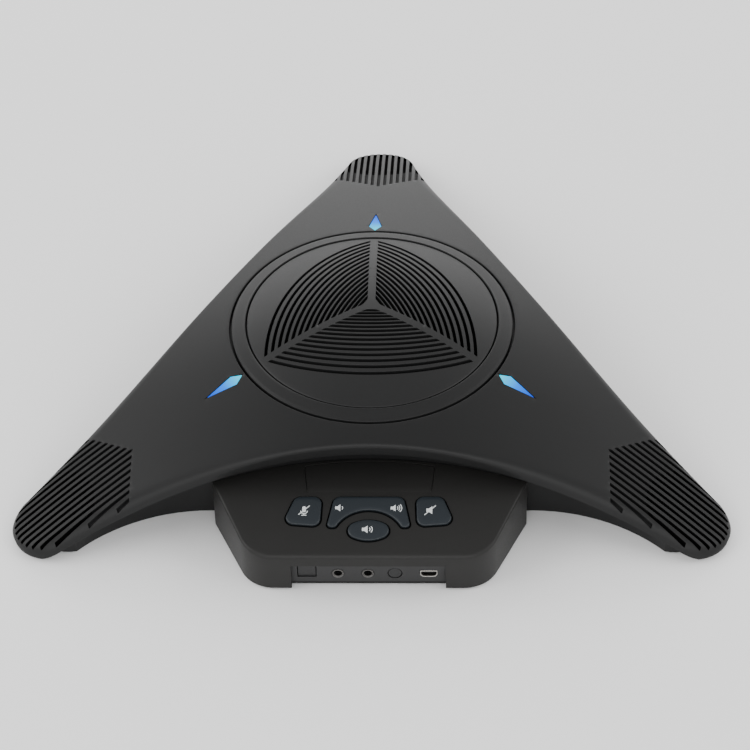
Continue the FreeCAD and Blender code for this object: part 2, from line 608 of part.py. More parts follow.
keys, key_holes, snaps = [], [], []
for name, (outline, corner, plungers) in KEYS.items():
    top = with_round_corners(padded(f"{name}_top", [outline("0")], "-flange_low", "key_rise"), corner)
    lip = with_round_corners(padded(f"{name}_lip", [outline("flange_lip - 0.1")], "-flange_low",
                                    "-flange_top"), corner)
    pins = [padded(f"{name}_pin_{i}", [circle(x, w, "1.4")], "snap_rise - key_board_top", "-flange_low")
            for i, (x, w) in enumerate(plungers)]
    if name == "volume_rocker":
        pins.append(padded("rocker_pivot", [rectangle("-0.4", "0.4", "5", "9.5")], "0.1 - key_board_top",
                           "-flange_low"))
    parts = [on_panel(item) for item in (top, lip, *pins)]
    keys.append(boolean("MultiFuse", name, *parts))
    key_holes.append(on_panel(with_round_corners(padded(f"{name}_hole", [outline("key_gap")], "-10", "5"),
                                                 corner)))
    for i, (x, w) in enumerate(plungers):
        suffix = ("_down", "_up")[i] if len(plungers) > 1 else ""
        snap = turned(f"snap_{name.replace('_button', '').replace('_rocker', '')}{suffix}",
                      [("0", "-key_board_top"), ("snap_radius", "-key_board_top"),
                       ("snap_radius - 0.8", "snap_rise - key_board_top"),
                       ("0", "snap_rise - key_board_top")])
        snap.Placement = Placement(Vector(value(x), value(w), 0), Rotation())
        snaps.append(on_panel(snap))

board_spots = [(x, w) for x in ("-key_screw_x", "key_screw_x")
               for w in ("-key_screw_front", "key_screw_back")]
key_screws = [on_panel(screw(f"key_screw_{i}", x, w, "-key_board_low - 1.2", "-key_board_low",
                             "-panel_thick - 0.6", "screw - 0.2", "screw_head - 0.6"))
              for i, (x, w) in enumerate(board_spots)]
key_board = boolean("Cut", "key_board",
                    on_panel(padded("key_board_blank", [rectangle("-key_board_half", "key_board_half",
                                                                  "-key_board_front", "key_board_back")],
                                    "-key_board_low", "-key_board_top")), *key_screws,
                    *[disc(f"rod_room_{i}", "rod + 0.5", "floor_top", "cap_top", x, "-rod_y")
                      for i, x in enumerate(("-rod_x", "rod_x"))])
board_screws = group("board_screws", main_screws + key_screws)

cover_block = padded("console_block", [console_plan("0", "0.15")], "underside", "40")
panel_space = on_panel(padded("panel_space", [rectangle("-100", "100", "-60", "60")], "-80", "0"))
console_solid = rounded("console_solid", boolean("MultiCommon", "console_wedge", cover_block, panel_space),
                        "1.5", lambda edge: edge.BoundBox.ZMin > 18 and edge.BoundBox.YMax < -76)
console_inner = boolean("MultiCommon", "console_inner",
                        padded("inner_plan", [console_plan("console_wall", "-5")], "0", "40"),
                        on_panel(padded("inner_space", [rectangle("-100", "100", "-60", "60")], "-80",
                                        "-panel_thick")))
notch = block("port_notch", "-recess_half", "recess_half", "-console_front - 1", "-port_wall + 1",
              "underside - 1", "recess_top")
plate_recess = on_panel(padded("plate_recess", [[("27.5", "13.1"), ("28.8", "24.2"), ("26.2", "27", "150",
                                                                                     1),
                                                 ("-26.2", "27"), ("-28.8", "24.2"), ("-27.5", "13.1")]],
                               "-0.35", "2"))
cover_posts = [on_panel(padded(f"cover_post_{i}", [circle(x, w, "2.4")], "-key_board_top",
                               "-panel_thick + 0.3")) for i, (x, w) in enumerate(board_spots)]
cover_rods = [disc(f"cover_rod_{spot}", "rod", "floor_top", "23.5", *shell_spots[spot])
              for spot in ("console_left", "console_right")]
console_hollow = boolean("Cut", "console_hollow", console_solid, console_inner, notch, plate_recess,
                         *key_holes)
console_cover = boolean("Cut", "console_cover",
                        boolean("MultiFuse", "console_full", console_hollow, *cover_posts, *cover_rods),
                        shell_screws, *key_screws)

# --- ports --------------------------------------------------------------------------------------
JACKS = {"line_in": "-13.4", "line_out": "-0.3"}
PHONE = rectangle("-30.9", "-23.1", "port_z - 2", "port_z + 4.8")
USB = [("22.5", "port_z + 1.95"), ("22.5", "port_z - 0.6"), ("23.7", "port_z - 1.95"),
       ("28.9", "port_z - 1.95"), ("30.1", "port_z - 0.6"), ("30.1", "port_z + 1.95")]
USB_IN = [("22.85", "port_z + 1.6"), ("22.85", "port_z - 0.45"), ("23.85", "port_z - 1.6"),
          ("28.75", "port_z - 1.6"), ("29.75", "port_z - 0.45"), ("29.75", "port_z + 1.6")]
port_holes = [circle(x, "port_z", "2.6") for x in JACKS.values()]
port_panel = padded("port_panel", [rectangle("-36.5", "36.5", "floor_top", "17.5"), PHONE, USB,
                                   circle("11.5", "port_z", "2.9"), *port_holes],
                    "port_wall - 1.6", "port_wall", "XZ_Plane")
phone_port_blank = padded("phone_port_blank", [PHONE], "port_wall - 2.4", "port_wall - 0.4", "XZ_Plane")
power_port_blank = padded("power_port_blank", [circle("11.5", "port_z", "2.9")], "port_wall - 2.4",
                          "port_wall - 0.2", "XZ_Plane")
jack_nodes = []
for name, x in JACKS.items():
    jack_nodes.append(padded(f"{name}_collar", [circle(x, "port_z", "2.6"), circle(x, "port_z", "1.8")],
                             "port_wall - 1.6", "port_wall + 0.25", "XZ_Plane"))
    body = padded(f"{name}_jack", [rectangle(f"{x} - 3.1", f"{x} + 3.1", "board_top", "port_z + 3")],
                  "port_wall - 13.6", "port_wall - 1.6", "XZ_Plane")
    bore_sketch = draw(body, "XZ_Plane", [circle(x, "port_z", "1.8")], "port_wall")
    bore = body.newObject("PartDesign::Pocket", f"{name}_bore")
    bore.Profile = bore_sketch
    bore.Length = 12.6
    jack_nodes.append(body)
usb_shell = padded("usb_shell", [USB, USB_IN], "port_wall - 8", "port_wall + 0.2", "XZ_Plane")
usb_tongue = padded("usb_tongue", [rectangle("23.9", "28.7", "port_z - 0.2", "port_z + 0.9")],
                    "port_wall - 8", "port_wall - 0.9", "XZ_Plane")
main_board = boolean("Cut", "main_board",
                     padded("main_board_blank", [rectangle("-board_half", "board_half", "-board_front",
                                                           "-board_back")], "board_low", "board_top"), *main_screws)

# --- feet ---------------------------------------------------------------------------------------
feet = [disc(f"foot_{leg}", "foot_radius", "0", "underside", *in_plan(angle, "leg_reach - 3", "0"))
        for leg, angle in LEGS.items()]
feet += [disc(f"foot_console_{side}", "console_foot", "0", "underside", x, "-console_foot_y")
         for side, x in (("left", "-console_foot_x"), ("right", "console_foot_x"))]

# --- checks and export --------------------------------------------------------------------------
doc.recompute()
NODES = [top_shell, base_shell, trim_ring, speaker_grille, grille_cloth, *leg_nodes, speaker_frame,
         speaker_gasket, front_plate, ring_magnet, yoke, voice_coil, spider, speaker_cone, dust_cap,
         surround, console_cover, *keys, *snaps, key_board, main_board, port_panel, phone_port_blank,
         power_port_blank, *jack_nodes, usb_shell, usb_tongue, *feet, shell_screws, speaker_screws,
         board_screws]
failed = [item.Name for item in doc.Objects if "Invalid" in item.State or "Error" in item.State]
if failed:
    raise RuntimeError(f"these objects failed: {failed}")
os.makedirs("parts", exist_ok=True)
for node in NODES:
    node.Label = node.Name
    shape = node.Shape
    if shape.isNull() or not shape.isValid() or shape.Volume <= 0:
        raise RuntimeError(f"{node.Name} has no sound shape")
    shape.exportStep(f"parts/{node.Name}.step")
    print(f"{node.Name:24s} solids {len(shape.Solids)}  volume {shape.Volume:10.1f}")
print(len(NODES), "nodes")
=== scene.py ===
"""Looks of a three-legged conference speakerphone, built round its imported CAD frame."""
import json
import math
import bmesh
import bpy
from mathutils import Matrix, Vector
from mathutils.bvhtree import BVHTree
from mathutils.geometry import delaunay_2d_cdt, tessellate_polygon


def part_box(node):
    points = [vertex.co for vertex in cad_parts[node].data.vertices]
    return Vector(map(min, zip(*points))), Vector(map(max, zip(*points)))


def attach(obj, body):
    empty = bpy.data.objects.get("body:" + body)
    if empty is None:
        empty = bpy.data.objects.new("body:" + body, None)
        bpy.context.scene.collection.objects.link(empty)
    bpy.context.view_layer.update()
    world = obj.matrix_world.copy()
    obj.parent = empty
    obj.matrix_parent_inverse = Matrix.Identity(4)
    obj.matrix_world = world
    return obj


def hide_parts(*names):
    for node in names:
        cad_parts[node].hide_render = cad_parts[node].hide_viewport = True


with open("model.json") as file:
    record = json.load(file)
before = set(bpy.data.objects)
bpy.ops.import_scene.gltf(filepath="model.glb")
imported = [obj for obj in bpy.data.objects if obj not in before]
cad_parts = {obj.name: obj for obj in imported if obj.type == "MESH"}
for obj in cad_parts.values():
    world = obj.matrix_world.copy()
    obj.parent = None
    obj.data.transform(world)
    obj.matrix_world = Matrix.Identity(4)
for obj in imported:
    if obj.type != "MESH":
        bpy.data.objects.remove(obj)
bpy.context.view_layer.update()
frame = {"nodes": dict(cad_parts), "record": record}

# Lengths below are in millimetres; a piece's mesh is scaled to metres when it is made.
MM = 0.001
LEGS = {"rear": 90, "left": 210, "right": 330}
SECTORS = (270, 30, 150)

# dome of the cover and cap of the grille: arcs in the (radius, height) plane
DOME_RADIUS, DOME_CENTRE_R, DOME_CENTRE_Z = 700.0, -134.9, -618.9
CAP_RADIUS, CAP_TOP = 170.0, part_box("speaker_grille")[1].z / MM
# cover's outline: round tips joined by wide hollow arcs
REACH, TIP, WAIST, WAIST_ARC = 165.0, 17.7, 75.4, 406.37
TIP_ROLL, WAIST_ROLL, ROLL_FROM, ROLL_TO = 8.0, 2.6, 60.0, 140.0
WALL, LIP_DROP, PART_LINE = 2.2, 5.5, 3.3
RING_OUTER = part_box("trim_ring")[1].x / MM + 0.2
RING_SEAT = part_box("trim_ring")[0].z / MM
LEDGE_LOW, MOUTH = 46.8, 54.0
RING_BEVEL = 0.55
RING_SEGMENTS = 30
# rows of points down the rolled edge, and how many of them are too steep for the flat triangulation
ROLL_ROWS, STEEP_ROWS = 10, 2
# slots: half width, corner radius, chamfer and wall insets
SLOT_HALF, SLOT_CORNER, CHAMFER, SLOT_WALL = 0.75, 0.3, 0.09, 0.12
# microphone slots: pitch, where the middle one starts, how the V opens, rows each side of the middle
MIC_PITCH, MIC_APEX, MIC_SPREAD, MIC_ROWS = 3.08, 122.4, 0.565, 7
MIC_MARGIN = 1.75
CHAMBER = 21.0
GROOVE_DEPTH, CHAMBER_DEPTH = 1.7, 2.1
# status light: its inner point, widest place and outer point along the leg
LIGHT = (66.3, 70.7, 84.9)
LIGHT_HALF, WINDOW_GAP, WINDOW_DEPTH = 2.9, 0.2, 1.3
# pitches of the lattices of points in the outer and the inner skin, and the width of the ring's seat
SKIN_PITCH, INSIDE_PITCH, SEAT_WIDTH = 2.6, 7.0, 2.5
TAN60 = math.tan(math.radians(60))
# a triangle with less area than this times its longest side is dropped; points nearer than WELD join
SLIVER, WELD = 0.0008, 0.004


# --- plane geometry -----------------------------------------------------------------------------
def steps(start, end, count):
    return [start + (end - start) * i / count for i in range(count + 1)]


def polar(radius, degrees, centre=(0, 0)):
    angle = math.radians(degrees)
    return (centre[0] + radius * math.cos(angle), centre[1] + radius * math.sin(angle))


def bisect(test, low, high):
    """Where test turns from true to false between low and high."""
    for _ in range(40):
        middle = (low + high) / 2
        low, high = (middle, high) if test(middle) else (low, middle)
    return low


def rounded_box(across, along, corner):
    """Signed distance to a box with round corners, from the distances past its sides and its ends."""
    x, y = across + corner, along + corner
    return min(max(x, y), 0) + math.hypot(max(x, 0), max(y, 0)) - corner


def in_loop(loop, x, y):
    """Whether (x, y) is inside a closed loop."""
    hit = False
    for i, p in enumerate(loop):
        q = loop[i - 1]
        if (p[1] > y) != (q[1] > y) and x < (q[0] - p[0]) * (y - p[1]) / (q[1] - p[1]) + p[0]:
            hit = not hit
    return hit


def surface(loops, lines, points, keep, height):
    """Triangles over closed loops, open lines and loose points, where keep accepts their middle.
    A point that comes with a height keeps it; height() gives the others theirs."""
    verts, edges, given = [], [], []
    for run, closed in [(loop, True) for loop in loops] + [(line, False) for line in lines]:
        first = len(verts)
        verts += [Vector(p[:2]) for p in run]
        given += [p[2] if len(p) > 2 else None for p in run]
        edges += [(first + i, first + i + 1) for i in range(len(run) - 1)]
        if closed:
            edges.append((len(verts) - 1, first))
    verts += [Vector(p) for p in points]
    given += [None] * len(points)
    flat, _, faces, sources, *_ = delaunay_2d_cdt(verts, edges, [], 1, 1e-5, True)
    placed = []
    for p, source in zip(flat, sources):
        levels = [given[i] for i in source if given[i] is not None]
        placed.append((p.x, p.y, levels[0] if levels else height(p.x, p.y)))
    kept = []
    for face in faces:
        a, b, c = (flat[i] for i in face)
        area = (b - a).cross(c - a)
        longest = max((b - a).length, (c - b).length, (a - c).length)
        if abs(area) > SLIVER * longest and keep(*((a + b + c) / 3)):
            kept.append(face if area > 0 else face[::-1])
    return placed, kept


def divided(start, end, pitch):
    """Points along a straight line, without its last one."""
    count = max(1, math.ceil(math.dist(start, end) / pitch))
    return [tuple(a + (b - a) * t for a, b in zip(start, end)) for t in steps(0, 1, count)[:-1]]


def hex_grid(low, high, pitch):
    """Points of a triangular lattice over a box."""
    rows = int((high[1] - low[1]) / (pitch * 0.866)) + 1
    columns = int((high[0] - low[0]) / pitch) + 1
    return [(low[0] + pitch * (i + 0.5 * (j % 2)), low[1] + pitch * 0.866 * j)
            for j in range(rows) for i in range(columns)]


def corner_arcs(sides, radii):
    """Round the corners between sides: lines (p, q), or arcs (centre, radius, bulge, p, q).
    The sides run anticlockwise; bulge is 1 where the outline swells and -1 where it is hollow.
    Each radius belongs to the corner after its side."""
    if not isinstance(radii, (list, tuple)):
        radii = [radii] * len(sides)

    def moved(side, offset):
        if len(side) == 2:
            p, q = Vector(side[0]), Vector(side[1])
            along = (q - p).normalized()
            return p + Vector((-along.y, along.x)) * offset, along
        return Vector(side[0]), side[1] - side[2] * offset

    def meet(i, near):
        """Centre of the corner after side i."""
        first, second = sides[i], sides[(i + 1) % len(sides)]
        a, b = (moved(side, radii[i]) for side in (first, second))
        if len(first) == 2 and len(second) == 2:
            span = a[1].cross(b[1])
            return a[0] + a[1] * ((b[0] - a[0]).cross(b[1]) / span)
        line, ring = (a, b) if len(first) == 2 else (b, a)
        foot = line[0] + line[1] * (ring[0] - line[0]).dot(line[1])
        half = math.sqrt(max(ring[1] ** 2 - (foot - ring[0]).length_squared, 0))
        options = (foot + line[1] * half, foot - line[1] * half)
        return min(options, key=lambda p: (p - near).length)

    def facing(side, centre):
        """Angle from a corner's centre to where it touches a side."""
        if len(side) == 2:
            along = Vector(side[1]) - Vector(side[0])
            return math.degrees(math.atan2(-along.x, along.y))
        out = (centre - Vector(side[0])) * side[2]
        return math.degrees(math.atan2(out.y, out.x))

    arcs = []
    for i, side in enumerate(sides):
        following = sides[(i + 1) % len(sides)]
        centre = meet(i, Vector(side[-1]))
        start, end = facing(side, centre), facing(following, centre)
        if len(side) > 2:
            hub = Vector(side[0])
            before = meet(i - 1, Vector(side[3]))
            first, last = (math.degrees(math.atan2(p.y - hub.y, p.x - hub.x)) for p in (before, centre))
            if side[2] > 0 and last < first:
                last += 360
            if side[2] < 0 and last > first:
                last -= 360
            arcs.append((side[0], side[1], first, last, side[2]))
        arcs.append((tuple(centre), radii[i], start, start + (end - start) % 360, 1))
    return arcs


def loop_of(arcs, inset=0.0, step=0.8, run=3.0):
    """Points of an outline of arcs with straight runs between them, moved inwards by inset."""
    loop = []
    for i, (centre, radius, start, end, bulge) in enumerate(arcs):
        count = max(2, math.ceil(abs(math.radians(end - start)) * radius / step))
        loop += [polar(radius - bulge * inset, a, centre) for a in steps(start, end, count)]
        after = arcs[(i + 1) % len(arcs)]
        last, first = Vector(polar(radius, end, centre)), Vector(polar(after[1], after[2], after[0]))
        gap = (first - last).length
        if gap < 0.01:
            loop.pop()
            continue
        last = Vector(loop[-1])
        first = Vector(polar(after[1] - after[4] * inset, after[2], after[0]))
        loop += [tuple(last.lerp(first, t)) for t in steps(0, 1, max(1, math.ceil(gap / run)))[1:-1]]
    return loop


def polygon(points):
    """The straight sides between points."""
    return [(points[i], points[(i + 1) % len(points)]) for i in range(len(points))]


def past_polygon(points, x, y):
    """How far (x, y) is past the nearest side of a convex anticlockwise polygon."""
    far = -1e9
    for i, p in enumerate(points):
        q = points[(i + 1) % len(points)]
        length = math.hypot(q[0] - p[0], q[1] - p[1])
        far = max(far, ((q[1] - p[1]) * (x - p[0]) - (q[0] - p[0]) * (y - p[1])) / length)
    return far


# --- mesh building ------------------------------------------------------------------------------
class Build:
    """Points and faces gathered for one piece; coinciding points are joined when it is made."""

    def __init__(self):
        self.points, self.faces, self.tags = [], [], []

    def add(self, points, faces, tag=0):
        first = len(self.points)
        self.points += [tuple(p) for p in points]
        self.faces += [tuple(first + i for i in face) for face in faces]
        self.tags += [tag(face) if callable(tag) else tag for face in faces]
        return self

    def grid(self, rows, closed=False, tag=0):
        """Quads between rows of equally many points."""
        width = len(rows[0])
        faces = []
        for r in range(len(rows) - 1):
            for i in range(width if closed else width - 1):
                j = (i + 1) % width
                faces.append((r * width + i, r * width + j, (r + 1) * width + j, (r + 1) * width + i))
        return self.add([p for row in rows for p in row], faces, tag)

    def fill(self, row, tag=0):
        """Close a flat loop with one face."""
        return self.add(row, [tuple(range(len(row)))], tag)

    def copy_turned(self, degrees, mirror=1):
        """The same faces, mirrored over the X axis if mirror is -1 and then turned about Z."""
        c, s = math.cos(math.radians(degrees)), math.sin(math.radians(degrees))
        result = Build()
        result.points = [(x * c - y * mirror * s, x * s + y * mirror * c, z) for x, y, z in self.points]
        result.faces = [face[::mirror] for face in self.faces]
        result.tags = list(self.tags)
        return result

    def join(self, other):
        first = len(self.points)
        self.points += other.points
        self.faces += [tuple(first + i for i in face) for face in other.faces]
        self.tags += other.tags
        return self

    def six_fold(self, angles):
        """Both mirror halves about each angle."""
        whole = Build()
        for angle in angles:
            for mirror in (1, -1):
                whole.join(self.copy_turned(angle, mirror))
        return whole


def welded(build, scale):
    """A build as a bmesh, with its coinciding points joined."""
    work = bmesh.new()
    verts = [work.verts.new((x * scale, y * scale, z * scale)) for x, y, z in build.points]
    for face, tag in zip(build.faces, build.tags):
        work.faces.new([verts[i] for i in face]).material_index = tag
    bmesh.ops.remove_doubles(work, verts=work.verts, dist=WELD * scale)
    bmesh.ops.delete(work, geom=[v for v in work.verts if not v.link_faces], context="VERTS")
    return work


def make(name, build, materials, body="housing", nodes=(), crease=32):
    """Turn a build into a piece that rides on a body and stands for its CAD nodes."""
    work = welded(build, MM)
    bmesh.ops.recalc_face_normals(work, faces=work.faces)
    mesh = bpy.data.meshes.new(name)
    work.to_mesh(mesh)
    work.free()
    for item in materials if isinstance(materials, (list, tuple)) else [materials]:
        mesh.materials.append(item)
    mesh.shade_smooth()
    mesh.set_sharp_from_angle(angle=math.radians(crease))
    piece = bpy.data.objects.new(name, mesh)
    bpy.context.scene.collection.objects.link(piece)
    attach(piece, body)
    if nodes:
        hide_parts(*nodes)
    return piece


def lathe(profile, count=144, x=0.0, y=0.0):
    """A closed (radius, height) profile turned about an upright axis through (x, y)."""
    build = Build()
    turns = steps(0, 360, count)[:-1]
    rows = []
    for radius, height in profile + profile[:1]:
        rows.append([(*polar(radius, a, (x, y)), height) for a in turns])
    build.grid(rows, closed=True)
    return build


def thicken(build, under):
    """A sheet closed by a second one, whose points under() gives, with walls along its edges."""
    work = welded(build, 1)
    work.verts.index_update()
    top = [tuple(v.co) for v in work.verts]
    faces = [tuple(v.index for v in face.verts) for face in work.faces]
    tags = [face.material_index for face in work.faces]
    edges = {(face[i - 1], face[i]) for face in faces for i in range(len(face))}
    rim = [edge for edge in edges if edge[::-1] not in edges]
    work.free()
    count = len(top)
    solid = Build()
    solid.points = top + [under(*p) for p in top]
    solid.faces = faces + [tuple(count + i for i in face[::-1]) for face in faces]
    solid.faces += [(b, a, count + a, count + b) for a, b in sorted(rim)]
    solid.tags = tags + tags + [0] * len(rim)
    return solid


# --- materials ----------------------------------------------------------------------------------
def new_material(name):
    """A node material: itself, its nodes, links and shader, and a texture coordinate node."""
    mat = bpy.data.materials.new(name)
    mat.use_nodes = True
    nodes = mat.node_tree.nodes
    return mat, nodes, mat.node_tree.links, nodes["Principled BSDF"], nodes.new("ShaderNodeTexCoord")


def bumped(nodes, links, shader, source, strength, depth):
    """Raise the surface by a texture."""
    bump = nodes.new("ShaderNodeBump")
    bump.inputs["Strength"].default_value = strength
    bump.inputs["Distance"].default_value = depth * MM
    links.new(source, bump.inputs["Height"])
    links.new(bump.outputs["Normal"], shader.inputs["Normal"])


def material(name, colour, roughness, grain=0.0, grain_size=0.35, mottle=0.12, metallic=0.0,
             coat=0.0, specular=0.5):
    """A moulded or metal surface: fine grain in its bump, soft variation in colour and roughness."""
    mat, nodes, links, shader, place = new_material(name)
    shader.inputs["Metallic"].default_value = metallic
    shader.inputs["Coat Weight"].default_value = coat
    shader.inputs["Specular IOR Level"].default_value = specular

    def noise(size, detail):
        node = nodes.new("ShaderNodeTexNoise")
        node.inputs["Scale"].default_value = 1 / (size * MM)
        node.inputs["Detail"].default_value = detail
        links.new(place.outputs["Object"], node.inputs["Vector"])
        return node

    def spread(source, low, high):
        node = nodes.new("ShaderNodeMapRange")
        node.inputs["From Min"].default_value = 0.3
        node.inputs["From Max"].default_value = 0.7
        node.inputs["To Min"].default_value = low
        node.inputs["To Max"].default_value = high
        links.new(source, node.inputs["Value"])
        return node.outputs["Result"]

    fine = noise(grain_size, 3.0)
    broad = noise(38.0, 2.0)
    tint = nodes.new("ShaderNodeMix")
    tint.data_type = "RGBA"
    tint.inputs["A"].default_value = (*[c * (1 - mottle) for c in colour], 1)
    tint.inputs["B"].default_value = (*[c * (1 + mottle) for c in colour], 1)
    both = nodes.new("ShaderNodeMath")
    both.operation = "MULTIPLY_ADD"
    links.new(spread(fine.outputs["Fac"], 0, 1), both.inputs[0])
    both.inputs[1].default_value = 0.6
    links.new(spread(broad.outputs["Fac"], 0, 0.4), both.inputs[2])
    links.new(both.outputs[0], tint.inputs["Factor"])
    links.new(tint.outputs["Result"], shader.inputs["Base Color"])
    links.new(spread(fine.outputs["Fac"], roughness - 0.05, roughness + 0.05), shader.inputs["Roughness"])
    if grain:
        bumped(nodes, links, shader, fine.outputs["Fac"], grain, 0.06)
    return mat


def woven(name, colour, pitch, roughness=0.9, specular=0.3):
    """Fabric: crossed threads at a pitch in millimetres."""
    mat, nodes, links, shader, place = new_material(name)
    shader.inputs["Roughness"].default_value = roughness
    shader.inputs["Specular IOR Level"].default_value = specular
    threads = []
    for direction in ("X", "Y"):
        wave = nodes.new("ShaderNodeTexWave")
        wave.bands_direction = direction
        wave.inputs["Scale"].default_value = 0.314 / (pitch * MM)
        wave.inputs["Distortion"].default_value = 0.6
        links.new(place.outputs["Object"], wave.inputs["Vector"])
        threads.append(wave.outputs["Fac"])
    weave = nodes.new("ShaderNodeMath")
    weave.operation = "MULTIPLY"
    links.new(threads[0], weave.inputs[0])
    links.new(threads[1], weave.inputs[1])
    tint = nodes.new("ShaderNodeMix")
    tint.data_type = "RGBA"
    tint.inputs["A"].default_value = (*[c * 0.4 for c in colour], 1)
    tint.inputs["B"].default_value = (*colour, 1)
    links.new(weave.outputs[0], tint.inputs["Factor"])
    links.new(tint.outputs["Result"], shader.inputs["Base Color"])
    bumped(nodes, links, shader, weave.outputs[0], 0.5, 0.1)
    return mat


def light_pipe(name, angle):
    """Backlit lens: cyan at its wide end, deep blue at its outer tip."""
    mat, nodes, links, shader, place = new_material(name)
    shader.inputs["Roughness"].default_value = 0.5
    turn = nodes.new("ShaderNodeMapping")
    turn.inputs["Rotation"].default_value = (0, 0, -math.radians(angle))
    links.new(place.outputs["Object"], turn.inputs["Vector"])
    parts = nodes.new("ShaderNodeSeparateXYZ")
    links.new(turn.outputs["Vector"], parts.inputs["Vector"])
    along = nodes.new("ShaderNodeMapRange")
    along.inputs["From Min"].default_value = (LIGHT[0] + 1.5) * MM
    along.inputs["From Max"].default_value = (LIGHT[2] - 1.5) * MM
    links.new(parts.outputs["X"], along.inputs["Value"])
    ramp = nodes.new("ShaderNodeValToRGB")
    stops = ramp.color_ramp.elements
    stops[0].color = (0.0, 0.78, 1.0, 1)
    stops[1].color = (0.0, 0.06, 0.7, 1)
    middle = stops.new(0.5)
    middle.color = (0.0, 0.22, 1.0, 1)
    links.new(along.outputs["Result"], ramp.inputs["Fac"])
    links.new(ramp.outputs["Color"], shader.inputs["Emission Color"])
    shader.inputs["Base Color"].default_value = (0.004, 0.03, 0.12, 1)
    shader.inputs["Specular IOR Level"].default_value = 0.1
    shader.inputs["Emission Strength"].default_value = 1.4
    return mat


SHELL = material("shell_abs", (0.008, 0.0081, 0.0082), 0.46, specular=0.24, grain=0.35, grain_size=0.45)
# painted shade: a darker, duller copy of the shell plastic for the walls and floors of the shallow
# microphone grooves
GROOVE_SHADE = material("groove_painted_shade_abs", (0.006, 0.0061, 0.0062), 0.6, specular=0.1, grain=0.35, grain_size=0.45)
PANEL = material("panel_abs", (0.013, 0.0127, 0.0121), 0.46, specular=0.24, grain=0.35, grain_size=0.45)
RING = material("ring_abs", (0.009, 0.0091, 0.0092), 0.44, specular=0.26, grain=0.25, grain_size=0.45)
GRILLE = material("grille_abs", (0.010, 0.0101, 0.0102), 0.43, specular=0.28, grain=0.25, grain_size=0.45)
# black woven stuff for the slots over the microphone chamber: on their floors it stands for the mesh
# below, on their walls it is painted shade
CHAMBER_MESH_AND_SHADE = woven("chamber_mesh_and_painted_shade", (0.002, 0.002, 0.002), 0.4, specular=0.03)
CLOTH = woven("acoustic_cloth", (0.002, 0.002, 0.002), 0.5, specular=0.03)
KEY = material("key_rubber", (0.011, 0.015, 0.019), 0.42, specular=0.35, grain=0.15, grain_size=0.25)
# painted shade: a darker copy of the key rubber for the keys' sides and flanges, so the gap round each key
# reads dark
KEY_SIDE_SHADE = material("key_side_painted_shade", (0.004, 0.005, 0.006), 0.6, specular=0.2, grain=0.15, grain_size=0.25)
INK = material("icon_ink", (0.62, 0.64, 0.64), 0.5, mottle=0.04)
RUBBER = material("foot_rubber", (0.02, 0.02, 0.02), 0.75, grain=0.5, grain_size=0.3)
PORT = material("port_plastic", (0.012, 0.012, 0.0125), 0.5, grain=0.2, grain_size=0.4)
BLANK = material("blank_plastic", (0.008, 0.008, 0.0085), 0.45, grain=0.2, grain_size=0.4)
COLLAR = material("collar_nickel", (0.16, 0.155, 0.15), 0.4, metallic=1.0, grain=0.1, grain_size=0.2)
NICKEL = material("nickel", (0.55, 0.53, 0.5), 0.3, metallic=1.0, grain=0.1, grain_size=0.2)
STEEL = material("zinc_steel", (0.42, 0.42, 0.43), 0.35, metallic=1.0, grain=0.2, grain_size=0.3)


# --- cover --------------------------------------------------------------------------------------
WAIST_CENTRE = polar(WAIST + WAIST_ARC, 60)
TANGENT = math.degrees(math.atan2(WAIST_CENTRE[1], WAIST_CENTRE[0] - REACH))


def dome(radius):
    """Height of the cover's dome at a distance from the middle."""
    return DOME_CENTRE_Z + math.sqrt(DOME_RADIUS ** 2 - (radius - DOME_CENTRE_R) ** 2)


def nearest_edge(u, v):
    """Distance in from the cover's outline, the outline's point there and the direction inwards."""
    u_tip, v_tip = u - REACH, v
    if u_tip > 0 and abs(math.degrees(math.atan2(v_tip, u_tip))) < TANGENT:
        away = math.hypot(u_tip, v_tip)
        inward = (-u_tip / away, -v_tip / away)
        return TIP - away, (REACH - TIP * inward[0], -TIP * inward[1]), inward
    u_arc, v_arc = u - WAIST_CENTRE[0], v - WAIST_CENTRE[1]
    away = math.hypot(u_arc, v_arc)
    inward = (u_arc / away, v_arc / away)
    foot = (WAIST_CENTRE[0] + WAIST_ARC * inward[0], WAIST_CENTRE[1] + WAIST_ARC * inward[1])
    return away - WAIST_ARC, foot, inward


def roll_of(foot, inward):
    """The rolled edge over an outline point: its radius, dome height, slope and circle's height."""
    share = min(max((foot[0] - ROLL_FROM) / (ROLL_TO - ROLL_FROM), 0), 1)
    roll = WAIST_ROLL + (TIP_ROLL - WAIST_ROLL) * share * share * (3 - 2 * share)
    radius = math.hypot(*foot)
    fall = (radius - DOME_CENTRE_R) / math.sqrt(DOME_RADIUS ** 2 - (radius - DOME_CENTRE_R) ** 2)
    slope = -fall * (foot[0] * inward[0] + foot[1] * inward[1]) / radius
    height = dome(radius)
    return roll, height, slope, height + roll * slope - roll * math.sqrt(1 + slope * slope)


def cover_top(u, v, shell=0.0):
    """Height of the cover's surface, or of its inner face if shell is the wall."""
    v = abs(v)
    inset, foot, inward = nearest_edge(u, v)
    top = dome(math.hypot(u, v)) - shell
    roll, height, slope, centre = roll_of(foot, inward)
    radius = roll - shell
    if inset < roll * (1 - slope / math.sqrt(1 + slope * slope)) + shell * 0.2:
        circle = centre + math.sqrt(max(radius ** 2 - (roll - inset) ** 2, 0))
        top -= max(height - shell + slope * inset - circle, 0)
    return top


def lip_level(u, v):
    """Height of the cover's lower edge."""
    return max(dome(math.hypot(u, v)) - LIP_DROP, PART_LINE)


def mic_outer(v):
    """Where a microphone slot ends, a little short of the cover's outline."""
    return bisect(lambda u: nearest_edge(u, abs(v))[0] > MIC_MARGIN, MIC_APEX + MIC_SPREAD * abs(v),
                  REACH + TIP)


MIC_OUTER = [mic_outer(row * MIC_PITCH) for row in range(MIC_ROWS + 1)]


def in_chamber(u, v):
    """Whether a place is over the open chamber round the tip, where the slots are deeper."""
    return math.hypot(u - REACH, v) < CHAMBER


